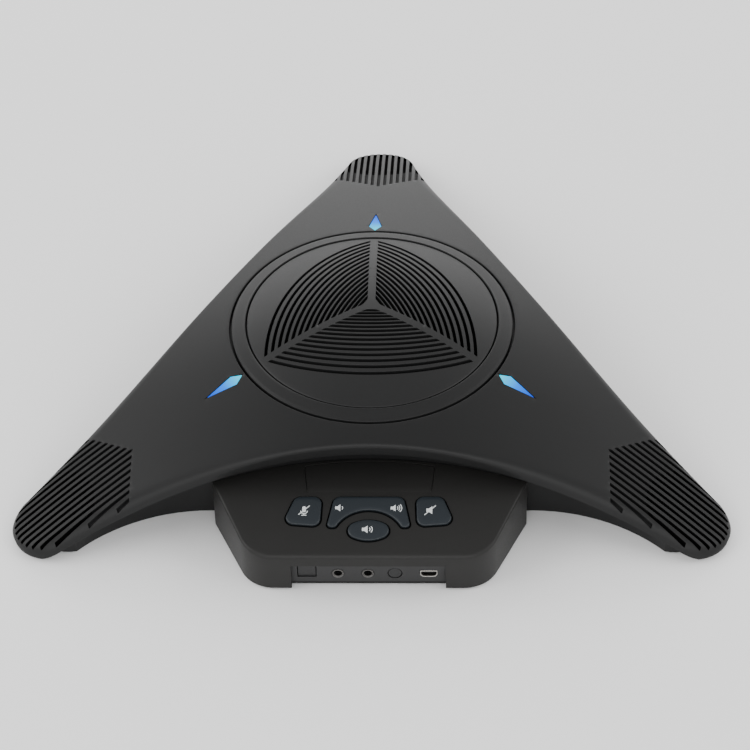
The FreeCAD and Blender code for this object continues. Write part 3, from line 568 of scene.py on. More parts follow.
def mic_past(u, v):
    """Signed distance to the nearest microphone slot's edge."""
    row = round(v / MIC_PITCH)
    if abs(row) > MIC_ROWS:
        return 9.0
    middle = row * MIC_PITCH
    lean = math.cos(math.atan(MIC_SPREAD))
    inner = (MIC_APEX + MIC_SPREAD * abs(v) - u) * lean
    return rounded_box(abs(v - middle) - SLOT_HALF, max(inner, u - MIC_OUTER[abs(row)]), SLOT_CORNER)


def mic_loop(row, inset):
    """Outline of one microphone slot, moved inwards."""
    middle, lean = row * MIC_PITCH, math.cos(math.atan(MIC_SPREAD))
    arm = SLOT_CORNER - inset
    offsets = [(SLOT_HALF - SLOT_CORNER + arm * math.cos(a), SLOT_CORNER - arm * math.sin(a))
               for a in steps(0, math.pi / 2, 3)]
    inner_end = [(MIC_APEX + MIC_SPREAD * abs(middle + a) + b / lean, middle + a) for a, b in offsets]
    inner_end += [(MIC_APEX + MIC_SPREAD * abs(middle - a) + b / lean, middle - a)
                  for a, b in offsets[::-1]]
    outer_end = [(MIC_OUTER[abs(row)] - b, middle - a) for a, b in offsets]
    outer_end += [(MIC_OUTER[abs(row)] - b, middle + a) for a, b in offsets[::-1]]
    loop = []
    for this, after in ((inner_end, outer_end), (outer_end, inner_end)):
        loop += this
        first, last = this[-1], after[0]
        marks = [first[0] + (last[0] - first[0]) * t for t in steps(0, 1, 9)[1:-1]]
        mouth = REACH - math.sqrt(max(CHAMBER ** 2 - this[-1][1] ** 2, 0))
        marks += [mouth - 0.05, mouth + 0.05]
        low, high = min(first[0], last[0]) + 0.3, max(first[0], last[0]) - 0.3
        marks = sorted((m for m in marks if low < m < high), reverse=last[0] < first[0])
        loop += [(m, this[-1][1]) for m in marks]
    return loop


def kite_points(grow):
    """Corners of a status light's outline, moved outwards."""
    return [(LIGHT[0] - 1.8 * grow, 0), (LIGHT[1], -LIGHT_HALF - grow), (LIGHT[2] + 4 * grow, 0),
            (LIGHT[1], LIGHT_HALF + grow)]


WINDOW = corner_arcs(polygon(kite_points(WINDOW_GAP)), 0.3)


def slot_depth(past, depth):
    """Depth at a signed distance past a slot's edge: a chamfer and then a steep wall."""
    if past >= CHAMFER:
        return 0.0
    if past > 0:
        return CHAMFER - past
    return CHAMFER + (depth - CHAMFER) * min(-past / SLOT_WALL, 1)


def cover_sheet():
    """One mirror half of one leg: rows down its rolled edge, its lip and the inner edge under it, and rows
    round the ring's opening.
    """
    feet = [polar(TIP, a, (REACH, 0)) for a in steps(0, TANGENT, 16)]
    feet += [polar(WAIST_ARC, a, WAIST_CENTRE) for a in steps(TANGENT + 180, 240, 48)[1:]]
    rows = [[] for _ in range(ROLL_ROWS)]
    lip_row, under_row = [], []
    for foot in feet:
        if foot[0] >= REACH + TIP * math.cos(math.radians(TANGENT)) - 1e-6:
            inward = ((REACH - foot[0]) / TIP, -foot[1] / TIP)
        else:
            inward = ((foot[0] - WAIST_CENTRE[0]) / WAIST_ARC, (foot[1] - WAIST_CENTRE[1]) / WAIST_ARC)
        roll, _, slope, centre = roll_of(foot, inward)

        def place(inset):
            return (foot[0] + inward[0] * inset, foot[1] + inward[1] * inset)

        def below_lip(inset):
            return cover_top(*place(inset)) < lip_level(*place(inset))

        start = bisect(below_lip, 0.0, 2.0)
        low = math.acos((roll - start) / roll)
        high = math.pi / 2 - math.atan(slope)
        for row, angle in zip(rows, steps(low, high, ROLL_ROWS - 1)):
            row.append((*place(roll - roll * math.cos(angle)), centre + roll * math.sin(angle)))
        level = lip_level(*place(start))
        if rows[0][-1][2] - level < 0.02:
            rows[0][-1] = (*place(start), level)
        inner = roll - math.sqrt(max((roll - WALL) ** 2 - max(level - centre, 0) ** 2, 0))
        lip_row.append((*place(start), level))
        under_row.append((*place(inner), level))
    ring_rows = [[polar(r, a) for a in steps(0, 60, RING_SEGMENTS)] for r in
                 [RING_OUTER + RING_BEVEL * (1 - math.cos(t)) for t in steps(0, math.pi / 2, 4)]]
    return rows, lip_row, under_row, ring_rows


def ring_edge(radius):
    """How far the cover's edge round the ring is rounded down."""
    reach = RING_OUTER + RING_BEVEL - radius
    if reach <= 0:
        return 0.0
    return RING_BEVEL - math.sqrt(max(RING_BEVEL ** 2 - min(reach, RING_BEVEL) ** 2, 0))


def cover_height(u, v):
    """Height of the cover's skin, with its slots, windows and the edge round the ring."""
    depth = CHAMBER_DEPTH if in_chamber(u, v) else GROOVE_DEPTH
    sunk = slot_depth(mic_past(u, v), depth)
    if LIGHT[0] - 3 < u < LIGHT[2] + 3 and abs(v) < LIGHT_HALF + 2:
        past = past_polygon(kite_points(WINDOW_GAP), u, v)
        sunk = max(sunk, slot_depth(past, WINDOW_DEPTH))
    return cover_top(u, v) - ring_edge(math.hypot(u, v)) - sunk


def clear_of_edges(u, v):
    """Whether a lattice point is clear of the ring, the rolled edge and every opening."""
    if not (0.8 < v < u * TAN60 - 1.2 and math.hypot(u, v) > RING_OUTER + 1.5):
        return False
    inset, foot, inward = nearest_edge(u, v)
    if inset <= roll_of(foot, inward)[0] * 0.9:
        return False
    return abs(mic_past(u, v)) > 0.7 and past_polygon(kite_points(WINDOW_GAP), u, v) > 0.8


def cover():
    """The cover's outer skin, inner skin, lip and seat, as six mirrored parts."""
    rows, lip_row, under_row, ring_rows = cover_sheet()
    steep, outline = rows[:STEEP_ROWS][::-1], rows[STEEP_ROWS]
    rows = [[point[:2] for point in row] for row in rows[STEEP_ROWS + 1:]]
    ring = [(u, v, cover_height(u, v)) for u, v in ring_rows[0][::-1]]
    border = outline + divided(outline[-1][:2], ring[0][:2], 2.0)[1:] + ring
    border += divided(ring[-1][:2], outline[0][:2], 1.3)[1:]
    loops = [border]
    for row in range(MIC_ROWS + 1):
        loops += [mic_loop(row, inset) for inset in (-CHAMFER, 0.0, SLOT_WALL)]
    loops += [loop_of(WINDOW, inset, step=0.15, run=2.5) for inset in (-CHAMFER, 0.0, SLOT_WALL)]
    points = [p for p in hex_grid((20, 0.8), (REACH + TIP, 90), SKIN_PITCH) if clear_of_edges(*p)]

    def inside(u, v):
        return v > 0 and in_loop(border, u, v)

    placed, faces = surface(loops, rows + ring_rows[1:], points, inside, cover_height)

    # slot walls and floors over the chamber take tag 1 (black mesh on the floors, painted shade on the
    # walls), those of the other grooves take tag 2 (painted shade); the skin keeps tag 0
    def slot_shade_tag(face):
        u, v = (sum(placed[i][k] for i in face) / 3 for k in (0, 1))
        if mic_past(u, v) > -0.02:
            return 0
        return 1 if in_chamber(u, v) else 2

    half = Build().add(placed, faces, slot_shade_tag)
    # lip, inner face and the seat round the ring
    half.grid([outline, *steep, lip_row, under_row])
    seat_r = RING_OUTER + SEAT_WIDTH
    angles = steps(0, 60, RING_SEGMENTS)
    seat = [(*polar(seat_r, a), cover_top(seat_r, 0, WALL)) for a in angles]
    inner_border = list(under_row)
    inner_border += [p[:2] for p in divided(under_row[-1][:2], seat[-1][:2], 5.0)[1:]]
    inner_border += seat[::-1]
    inner_border += [p[:2] for p in divided(seat[0][:2], under_row[0][:2], 5.0)[1:]]
    points = [(u, v) for u, v in hex_grid((20, 2), (REACH + TIP, 90), INSIDE_PITCH)
              if 2 < v < u * TAN60 - 3 and math.hypot(u, v) > seat_r + 3 and nearest_edge(u, v)[0] > 4.5]
    placed, faces = surface([inner_border], [], points, lambda u, v: in_loop(inner_border, u, v),
                            lambda u, v: cover_top(u, v, WALL))
    half.add(placed, [face[::-1] for face in faces])
    profile = [(RING_OUTER, cover_height(RING_OUTER, 0)), (RING_OUTER, RING_SEAT), (MOUTH, RING_SEAT),
               (MOUTH, LEDGE_LOW), (seat_r, LEDGE_LOW), (seat_r, cover_top(seat_r, 0, WALL))]
    half.grid([[(*polar(r, a), z) for a in angles] for r, z in profile])
    # shell plastic, black mesh with painted shade in the chamber slots, painted shade in the other grooves
    make("cover", half.six_fold(LEGS.values()), [SHELL, CHAMBER_MESH_AND_SHADE, GROOVE_SHADE], nodes=["top_shell"])


def lights():
    """The blue lenses, sunk a little in their windows."""
    outline = corner_arcs(polygon(kite_points(0.0)), 0.25)
    for leg, angle in LEGS.items():
        levels = [(0.0, WINDOW_DEPTH - 0.15), (0.0, 0.4), (0.12, 0.28)]
        rows = [[(u, v, dome(math.hypot(u, v)) - drop) for u, v in loop_of(outline, inset, 0.15, 2.0)]
                for inset, drop in levels]
        lens = Build().grid(rows, closed=True).fill(rows[0])
        ridge = [(u, 0.0, dome(u) - 0.12) for u in (LIGHT[0] + 1.5, LIGHT[1], LIGHT[2] - 3.5)]
        lens.add(*surface([rows[-1]], [ridge], [], lambda u, v: True, lambda u, v: dome(u) - 0.2))
        make(f"light_{leg}", lens.copy_turned(angle), light_pipe(f"light_pipe_{leg}", angle),
             nodes=[f"led_lens_{leg}"], crease=25)


cover()
lights()


# --- grille and ring ----------------------------------------------------------------------------
GRILLE_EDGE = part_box("speaker_grille")[1].x / MM
GRILLE_THICK, RIM_ROUND = 1.8, 0.5
ARC_SLOTS, SLOT_FIRST, SLOT_PITCH, SLOT_BEND, RIB_HALF = 15, 5.0, 3.45, 90.0, 1.8
SIN60, COS60 = math.sin(math.radians(60)), 0.5


def cap(radius):
    """Height of the grille's cap at a distance from the middle."""
    return CAP_TOP - CAP_RADIUS + math.sqrt(CAP_RADIUS ** 2 - radius ** 2)


def slot_centre(k):
    """Where the arc of a grille slot has its centre, along its sector's middle line."""
    along = SLOT_FIRST + SLOT_PITCH * k
    u, v = along * COS60 + RIB_HALF * SIN60, along * SIN60 - RIB_HALF * COS60
    return u - math.sqrt(SLOT_BEND ** 2 - v ** 2)


SLOT_CENTRES = [slot_centre(k) for k in range(ARC_SLOTS)]


def arc_past(u, v):
    """Signed distance to the nearest grille slot's edge, in a half sector."""
    v = abs(v)
    end = RIB_HALF - (u * SIN60 - v * COS60)
    return min(rounded_box(abs(math.hypot(u - c, v) - SLOT_BEND) - SLOT_HALF, end, SLOT_CORNER)
               for c in SLOT_CENTRES)


def arc_loop(centre, inset):
    """Outline of one grille slot, from the sector's middle to the rib and back."""
    def meet(radius, gap):
        """Point at a radius about the slot's centre and a gap from the rib's middle line."""
        tan, shift = SIN60 / COS60, gap / COS60
        a, b = 1 + tan * tan, -2 * (centre + tan * shift)
        c = centre * centre + shift * shift - radius * radius
        u = (-b + math.sqrt(b * b - 4 * a * c)) / (2 * a)
        return (u, u * tan - shift)

    arm = SLOT_CORNER - inset
    corner = [(SLOT_HALF - SLOT_CORNER + arm * math.cos(a), SLOT_CORNER - arm * math.sin(a))
              for a in steps(0, math.pi / 2, 3)]
    end = [meet(SLOT_BEND + a, RIB_HALF + b) for a, b in corner]
    end += [meet(SLOT_BEND - a, RIB_HALF + b) for a, b in corner[::-1]]
    half = SLOT_HALF - inset
    count = max(2, math.ceil(end[0][1] / 1.8))
    out = [(centre + math.sqrt((SLOT_BEND + half) ** 2 - v * v), v) for v in steps(0, end[0][1], count)]
    back = [(centre + math.sqrt((SLOT_BEND - half) ** 2 - v * v), v) for v in steps(end[-1][1], 0, count)]
    return out[:-1] + end + back[1:]


def grille():
    """The slotted cap, one mirror half of one sector at a time."""
    rim = [GRILLE_EDGE - RIM_ROUND * (1 - math.cos(t)) for t in steps(0, math.pi / 2, 4)]
    angles = steps(0, 60, 40)
    edge = [polar(rim[0], a) for a in angles]
    border = divided((0.0, 0.0), edge[0], 1.7) + edge + divided(edge[-1], (0.0, 0.0), 1.5)[1:]
    loops = [border] + [arc_loop(c, inset) for c in SLOT_CENTRES for inset in (-CHAMFER, 0.0)]
    lines = [[polar(r, a) for a in angles] for r in rim[1:]]
    points = [(u, v) for u, v in hex_grid((2.0, 0.8), (GRILLE_EDGE, GRILLE_EDGE), 2.2)
              if 0.6 < v < u * SIN60 / COS60 - 0.9 and math.hypot(u, v) < GRILLE_EDGE - 1.6
              and arc_past(u, v) > 0.45]

    def solid(u, v):
        return v > 0 and arc_past(u, v) > -0.003

    def height(u, v):
        radius = math.hypot(u, v)
        reach = max(radius - (GRILLE_EDGE - RIM_ROUND), 0)
        edge = RIM_ROUND - math.sqrt(max(RIM_ROUND ** 2 - reach ** 2, 0))
        chamfer = min(max(CHAMFER - arc_past(u, v), 0), CHAMFER)
        return cap(radius) - chamfer - edge

    half = Build().add(*surface(loops, lines, points, solid, height))
    plate = thicken(half.six_fold(SECTORS), lambda x, y, z: (x, y, cap(math.hypot(x, y)) - GRILLE_THICK))
    make("grille", plate, GRILLE, nodes=["speaker_grille"])


def trim_ring():
    """The slightly crowned ring between the grille and the cover."""
    inner, outer, bevel = GRILLE_EDGE + 0.55, RING_OUTER - 1.0, 0.45
    low, high = dome(outer) - 0.05, cap(GRILLE_EDGE) + 0.12
    profile = [(inner, RING_SEAT), (outer, RING_SEAT)]
    profile += [(outer - bevel * (1 - math.cos(t)), low - bevel * (1 - math.sin(t)))
                for t in steps(0, math.pi / 2, 5)]
    profile += [(outer + (inner - outer) * t, low + (high - low) * (t + 0.12 * t * (1 - t)))
                for t in steps(0, 1, 8)[1:-1]]
    profile += [(inner + bevel * (1 - math.sin(t)), high - bevel * (1 - math.cos(t)))
                for t in steps(0, math.pi / 2, 5)]
    make("trim_ring_skin", lathe(profile, 180), RING, nodes=["trim_ring"])


grille()
trim_ring()


# --- console ------------------------------------------------------------------------------------
TILT = math.radians(10)
PANEL_MID, PANEL_HEIGHT, PANEL_THICK = 96.0, 24.7, 2.2
HALF_BACK, HALF_FRONT, BACK, FRONT, ROUND = 69.6, 51.6, 77.4, 116.0, 16.0
BAY_ARC, BAY_BACK = 202.0, 64.9
NOTCH_HALF, NOTCH_TOP, UNDERSIDE = 33.7, 15.0, 1.2
KEY_GAP, HOLE_CHAMFER, EDGE_STEPS = 0.6, 0.08, 6
# name plate: how far it is sunk, the groove round it, and where along the panel both fade out
PLATE_SINK, GROOVE, GROOVE_WIDE = 0.12, 0.5, 0.36
PLATE_FADE = (-82.9, -78.5)
PLATE_LOW, PLATE_LEFT, PLATE_RIGHT = ((-27.5, 13.1), (27.5, 13.1)), (-28.9, 25.5), (28.9, 25.5)
PLATE_HUB, PLATE_ARC = (0.0, -119.9), 150.2
PLATE_ARCS = corner_arcs([PLATE_LOW, (PLATE_LOW[1], PLATE_RIGHT),
                          (PLATE_HUB, PLATE_ARC, 1, PLATE_RIGHT, PLATE_LEFT),
                          (PLATE_LEFT, PLATE_LOW[0])], 1.5)
LEAN = (HALF_BACK - HALF_FRONT) / (FRONT - BACK)


def from_panel(x, w, rise=0.0):
    """A point given on the sloping panel and above it."""
    return (x, -PANEL_MID + w * math.cos(TILT) - rise * math.sin(TILT),
            PANEL_HEIGHT + w * math.sin(TILT) + rise * math.cos(TILT))


def panel_z(y):
    """Height of the sloping panel."""
    return PANEL_HEIGHT + (y + PANEL_MID) * math.tan(TILT)


KEY_CORNER = 3.6
KEYS = {
    "mic_mute": [(-37.7, -3.5), (-21.2, -4.9), (-20.6, 10.7), (-32.4, 10.6)],
    "speaker_mute": [(21.2, -4.9), (37.7, -3.5), (32.4, 10.6), (20.6, 10.7)],
}


def key_outline(name):
    """Outline of a key in the panel's plane; the talk key is an oval of four arcs."""
    if name in KEYS:
        return corner_arcs(polygon(KEYS[name]), KEY_CORNER)
    if name == "talk":
        hubs = [((0, -15.9), 14.4, 61.93), ((-4.8, -6.9), 4.2, 118.07), ((0, 2.1), 14.4, 241.93),
                ((4.8, -6.9), 4.2, 298.07)]
        spans = (56.14, 123.86, 56.14, 123.86)
        return [(hub, radius, start, start + span, 1) for (hub, radius, start), span in zip(hubs, spans)]
    # volume: its lower edge, and the radius and half width of the hollow round the talk key
    low, hollow, half = -5.4, 16.1, 14.4
    left, right = (-half, low), (half, low)
    hub = (0, low - math.sqrt(hollow ** 2 - half ** 2))
    corners = [(18.4, low), (15.2, 10.6), (-15.2, 10.6), (-18.4, low)]
    sides = [(right, corners[0]), (corners[0], corners[1]), (corners[1], corners[2]),
             (corners[2], corners[3]), (corners[3], left), (hub, hollow, -1, left, right)]
    return corner_arcs(sides, [1.7, 3.4, 3.4, 1.7, 1.6, 1.6])


def console_corners(inset):
    """The console's back right corner, its front's level and where its side would meet it."""
    side = math.hypot(1, LEAN)
    back_y = -(BAY_BACK + BAY_ARC)
    shift = inset * side
    right_back = (HALF_BACK - shift, back_y + math.sqrt((BAY_ARC - inset) ** 2 - (HALF_BACK - shift) ** 2))
    front_y = -(FRONT - inset)
    corner_x = HALF_BACK - shift - LEAN * (-front_y - BACK)
    return right_back, front_y, corner_x


def console_loop(inset):
    """Right half of the console's plan, from the middle of its front to the middle of its back."""
    (back_x, _), front_y, corner_x = console_corners(inset)
    radius = ROUND - inset
    bend = math.atan(1 / LEAN)
    tangent = radius * math.tan(bend / 2)
    front_x = corner_x - tangent
    side_x = corner_x + tangent * math.sin(math.atan(LEAN))
    side_y = front_y + tangent * math.cos(math.atan(LEAN))
    hub = (front_x, front_y + radius)
    arc_radius = BAY_ARC - inset
    arc_hub = (0, -(BAY_BACK + BAY_ARC))
    sweep = math.degrees(math.asin(back_x / arc_radius))
    back = [polar(arc_radius, a, arc_hub) for a in steps(90 - sweep, 90, 24)]
    right = [(back_x + (side_x - back_x) * t, back[0][1] + (side_y - back[0][1]) * t)
             for t in steps(1, 0, 8)]
    corner = [polar(radius, a, hub) for a in steps(-90, -90 + math.degrees(bend), 12)]
    stops = [0, 8, 16, 24, NOTCH_HALF, front_x] if front_x > NOTCH_HALF else [0, front_x]
    front = [(x, front_y) for x in stops]
    return front[:-1] + corner[:-1] + right[:-1] + back


def edge_radius(inward):
    """Rounding of the panel's edge: soft at the front, crisp at the sides, sharp at the back."""
    if inward[1] > 0:
        return 1.0 + 1.6 * inward[1] ** 2
    return 0.5


def console():
    """The console's panel with its key holes and plate, its rounded edge and its walls."""
    outer = console_loop(0.0)
    inner = console_loop(PANEL_THICK)
    normals = []
    for i, p in enumerate(outer):
        before, after = outer[max(i - 1, 0)], outer[min(i + 1, len(outer) - 1)]
        along = Vector((after[0] - before[0], after[1] - before[1])).normalized()
        normals.append((-along.y, along.x))
    normals[0], normals[-1] = (0.0, 1.0), (0.0, -1.0)
    rows = [[] for _ in range(EDGE_STEPS + 1)]
    for p, inward in zip(outer, normals):
        radius = edge_radius(inward)
        slope = math.tan(TILT) * inward[1]
        centre = panel_z(p[1]) + radius * slope - radius * math.sqrt(1 + slope * slope)
        for row, angle in zip(rows, steps(0, math.pi / 2 - math.atan(slope), EDGE_STEPS)):
            inset = radius * (1 - math.cos(angle))
            x = max(p[0] + inward[0] * inset, 0) if p[0] > 1e-6 else 0.0
            row.append((x, p[1] + inward[1] * inset, centre + radius * math.sin(angle)))
    border = rows[-1] + [(-x, y, z) for x, y, z in rows[-1][1:-1]][::-1]
    thick = PANEL_THICK / math.cos(TILT)

    def level(loop, drop):
        return [(x, y, panel_z(y) - drop) for x, y, _ in (from_panel(*p) for p in loop)]

    outlines = [key_outline(name) for name in ("mic_mute", "volume", "speaker_mute", "talk")]
    rims = [level(loop_of(arcs, -KEY_GAP - HOLE_CHAMFER, 0.5, 2.5), 0) for arcs in outlines]
    holes = [level(loop_of(arcs, -KEY_GAP, 0.5, 2.5), HOLE_CHAMFER) for arcs in outlines]
    lows = [level(loop_of(arcs, -KEY_GAP, 0.5, 2.5), thick) for arcs in outlines]

    def plate_drop(y, depth):
        """The plate's outline fades out towards its lower edge."""
        return depth * min(max((y - PLATE_FADE[0]) / (PLATE_FADE[1] - PLATE_FADE[0]), 0), 1)

    plate = []
    for inset, depth in ((0.0, 0.0), (0.07, GROOVE), (GROOVE_WIDE, GROOVE),
                         (GROOVE_WIDE + 0.07, PLATE_SINK)):
        run = level(loop_of(PLATE_ARCS, inset, 0.5, 1.5), 0)
        plate.append([(x, y, z - plate_drop(y, depth)) for x, y, z in run])
    loops = [border, *rims, *holes, *plate]
    rim_points = [p[:2] for loop in loops for p in loop]
    points = [p for p in hex_grid((-70, -114), (70, -64), 4.0)
              if in_loop(border, *p) and min(math.dist(p, q) for q in rim_points) > 1.6]

    def solid(x, y):
        return in_loop(border, x, y) and not any(in_loop(loop, x, y) for loop in holes)

    def height(x, y):
        return panel_z(y) - (plate_drop(y, PLATE_SINK) if in_loop(plate[-1], x, y) else 0)

    body = Build().add(*surface(loops, [], points, solid, height))
    # under face of the panel, with the same holes
    inner_border = [(x, y, panel_z(y) - thick) for x, y in inner]
    inner_border += [(-x, y, z) for x, y, z in inner_border[1:-1]][::-1]
    points = [(x, y) for x, y in hex_grid((-66, -112), (66, -66), 6.0) if in_loop(inner_border, x, y)
              and min(math.dist((x, y), p[:2]) for loop in [inner_border, *lows] for p in loop) > 2.5]
    placed, faces = surface([inner_border, *lows], [], points,
                            lambda x, y: in_loop(inner_border, x, y)
                            and not any(in_loop(loop, x, y) for loop in lows),
                            lambda x, y: panel_z(y) - thick)
    body.add(placed, [face[::-1] for face in faces])
    for hole, low in zip(holes, lows):
        body.grid([hole, low], closed=True)
    # walls, cut out over the ports
    for mirror_side in (1, -1):
        def flipped(run):
            return [(mirror_side * x, y, z) for x, y, z in run]
        for r in range(EDGE_STEPS):
            body.grid([flipped(rows[r]), flipped(rows[r + 1])])
        cut = next(i for i, p in enumerate(outer) if abs(p[0] - NOTCH_HALF) < 1e-6)
        for part, levels in ((slice(0, cut + 1), [NOTCH_TOP]), (slice(cut, None), [NOTCH_TOP, UNDERSIDE])):
            strips = [rows[0][part]] + [[(*p, level) for p in outer[part]] for level in levels]
            strips += [[(*p, level) for p in inner[part]] for level in levels[::-1]]
            strips.append([(*p, panel_z(p[1]) - thick) for p in inner[part]])
            body.grid([flipped(run) for run in strips])
        cheek = [(*outer[cut], UNDERSIDE), (*outer[cut], NOTCH_TOP), (*inner[cut], NOTCH_TOP),
                 (*inner[cut], UNDERSIDE)]
        body.fill(flipped(cheek))
    make("console", body, PANEL, nodes=["console_cover"], crease=28)


console()


# --- keys ---------------------------------------------------------------------------------------
KEY_RISE, FLANGE, FLANGE_TOP, FLANGE_LOW = 1.3, 0.8, -2.9, -3.8
# printed symbols: line width, height over the key, extra height of each shape, thickness
PEN, PRINT_RISE, PRINT_LAYER, PRINT_THICK = 0.3, 0.035, 0.004, 0.07
KEY_NODES = {"mic_mute": ("mic_mute_button", "mic_mute_key"),
             "volume": ("volume_rocker", "volume_key"),
             "speaker_mute": ("speaker_mute_button", "speaker_mute_key"),
             "talk": ("talk_button", "talk_key")}


def key_levels(soft, crown, deepest):
    """Insets and heights from the flange up over the rounded edge to the crowned top."""
    levels = [(-FLANGE, FLANGE_LOW), (-FLANGE, FLANGE_TOP), (0.0, FLANGE_TOP), (0.0, 0.0)]
    top = KEY_RISE - crown
    levels += [(soft * (1 - math.cos(t)), top - soft * (1 - math.sin(t)))
               for t in steps(0, math.pi / 2, 7)]
    for t in steps(0, 1, 4)[1:]:
        inset = soft + (deepest - soft) * t
        levels.append((inset, top + crown * (1 - (1 - t) ** 2)))
    return levels


def key(name, soft=0.8, crown=0.2, deepest=2.4):
    """One key cap; returns a search tree of its surface and the name of its body."""
    arcs = key_outline(name)
    rows = [[from_panel(x, w, rise) for x, w in loop_of(arcs, inset, 0.4, 1.5)]
            for inset, rise in key_levels(soft, crown, deepest)]
    # the flange and the sides up to the rounded edge take tag 1, painted shade; the rounded edge and the
    # top take the key rubber
    cap_mesh = Build().grid(rows[:5], closed=True, tag=1).grid(rows[4:], closed=True)
    for row, rise, turn in ((rows[0], FLANGE_LOW, -1), (rows[-1], KEY_RISE, 1)):
        lift = rise / math.cos(TILT)
        points = [(x, y) for x, y in hex_grid((-40, -106), (40, -82), 1.6)
                  if in_loop(row, x, y) and min(math.dist((x, y), p[:2]) for p in row) > 0.7]
        placed, faces = surface([row], [], points, lambda x, y: in_loop(row, x, y),
                                lambda x, y: panel_z(y) + lift)
        cap_mesh.add(placed, [face[::turn] for face in faces])
    node, body = KEY_NODES[name]
    piece = make(f"key_{name}", cap_mesh, [KEY, KEY_SIDE_SHADE], body=body, nodes=[node],
                 crease=40)
    tree = BVHTree.FromPolygons([v.co for v in piece.data.vertices],
                                [p.vertices for p in piece.data.polygons])
    return tree, body


def stroke(points, width):
    """A band of quads along a line."""
    sides = []
    for i, p in enumerate(points):
        before, after = points[max(i - 1, 0)], points[min(i + 1, len(points) - 1)]
        along = Vector((after[0] - before[0], after[1] - before[1])).normalized()
        sides.append(((p[0] - along.y * width / 2, p[1] + along.x * width / 2),
                      (p[0] + along.y * width / 2, p[1] - along.x * width / 2)))
    verts = [q for pair in sides for q in pair]
    return verts, [(2 * i, 2 * i + 1, 2 * i + 3, 2 * i + 2) for i in range(len(points) - 1)]


def patch(points):
    """A flat area inside an outline."""
    faces = tessellate_polygon([[Vector((x, y, 0)) for x, y in points]])
    turned = []
    for a, b, c in faces:
        pa, pb, pc = (Vector(points[i]) for i in (a, b, c))
        turned.append((a, b, c) if (pb - pa).cross(pc - pa) > 0 else (a, c, b))
    return points, turned


def speaker_mark(waves, size=1.0, shift=0.0):
    """A loudspeaker with a number of sound waves."""
    horn = [(-1.75, -0.62), (-0.95, -0.62), (0.15, -1.5), (0.15, 1.5), (-0.95, 0.62), (-1.75, 0.62)]
    shapes = [patch([(x * size + shift, y * size) for x, y in horn])]
    for i in range(waves):
        radius = (1.0 + 0.75 * i) * size
        line = [polar(radius, a, (shift, 0)) for a in steps(-42, 42, 8)]
        shapes.append(stroke(line[::-1], PEN * size))
    return shapes


def slash(size):
    """The stroke across a muted symbol."""
    return [stroke([(1.9 * size, 1.9 * size), (-1.9 * size, -1.9 * size)], 0.32 * size)]


def mic_mark(size):
    """A microphone on its stand."""
    head = [polar(0.62, a, (0, 0.95)) for a in steps(0, 180, 8)]
    head += [polar(0.62, a, (0, -0.25)) for a in steps(180, 360, 8)]
    cradle = [polar(1.15, a, (0, -0.25)) for a in steps(180, 360, 12)]
    shapes = [patch(head), stroke(cradle[::-1], PEN), stroke([(0, -1.4), (0, -2.0)], PEN),
              stroke([(0.8, -2.05), (-0.8, -2.05)], PEN)]
    return [([(x * size, y * size) for x, y in points], faces) for points, faces in shapes]


def icon(name, shapes, x, w, tree, body):
    """Raised print on a key, laid on the key's own surface."""
    ink = Build()
    for i, (points, faces) in enumerate(shapes):
        flat = Build()
        placed = []
        for a, b in points:
            px, py, pz = from_panel(x + a, w + b)
            hit = tree.ray_cast(Vector((px, py, pz + 20)) * MM, Vector((0, 0, -1)))[0]
            placed.append((px, py, hit.z / MM + PRINT_RISE + PRINT_LAYER * i))
        flat.add(placed, faces)
        ink.join(thicken(flat, lambda px, py, pz: (px, py, pz - PRINT_THICK)))
    make(name, ink, INK, body=body)


def keys():
    """The four keys with their symbols."""
    def spot(y):
        return (y + PANEL_MID) / math.cos(TILT)

    tree, body = key("mic_mute")
    icon("icon_mic_mute", mic_mark(1.3) + slash(1.25), -28.3, spot(-93.2), tree, body)
    tree, body = key("volume", deepest=1.35, crown=0.12)
    icon("icon_volume_down", speaker_mark(1, 1.2, 0.3), -12.9, spot(-92.0), tree, body)
    icon("icon_volume_up", speaker_mark(3, 1.15), 11.6, spot(-92.1), tree, body)
    tree, body = key("speaker_mute")
    icon("icon_speaker_mute", speaker_mark(0, 1.35, 0.7) + slash(1.3), 26.9, spot(-93.2), tree, body)
    tree, body = key("talk")
    icon("icon_talk", speaker_mark(2, 1.3, 0.1), -0.6, spot(-103.1), tree, body)


keys()


# --- ports --------------------------------------------------------------------------------------
def box_of(node):
    """Low and high corners of a CAD node in millimetres."""
    low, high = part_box(node)
    return low / MM, high / MM


PORT_FACE = box_of("port_panel")[0].y
BLANK_GAP, COLLAR_GAP, HOLE_EDGE = 0.3, 0.12, 0.12
USB_OUTLINE = [(22.5, 7.0), (23.7, 5.65), (28.9, 5.65), (30.1, 7.0), (30.1, 9.55), (22.5, 9.55)]


def box_arcs(node, grow, radius):
    """Outline of a square node in the port wall's plane."""
    low, high = box_of(node)
    corners = [(low.x - grow, low.z - grow), (high.x + grow, low.z - grow),
               (high.x + grow, high.z + grow), (low.x - grow, high.z + grow)]
    return corner_arcs(polygon(corners), radius)


def disc_arcs(node, grow):
    """Outline of a round node in the port wall's plane."""
    low, high = box_of(node)
    centre = ((low.x + high.x) / 2, (low.z + high.z) / 2)
    return [(centre, (high.x - low.x) / 2 + grow, 0, 360, 1)]


def ring_loop(arcs, inset, step=0.25):
    """Points of an outline in the port wall's plane, without a repeated last point."""
    loop = loop_of(arcs, inset, step, 2.0)
    return loop[:-1] if math.dist(loop[0], loop[-1]) < 1e-4 else loop


def port_layer(loop, back):
    """A loop in the port wall's plane at a distance behind the wall's face."""
    return [(x, PORT_FACE + back, z) for x, z in loop]


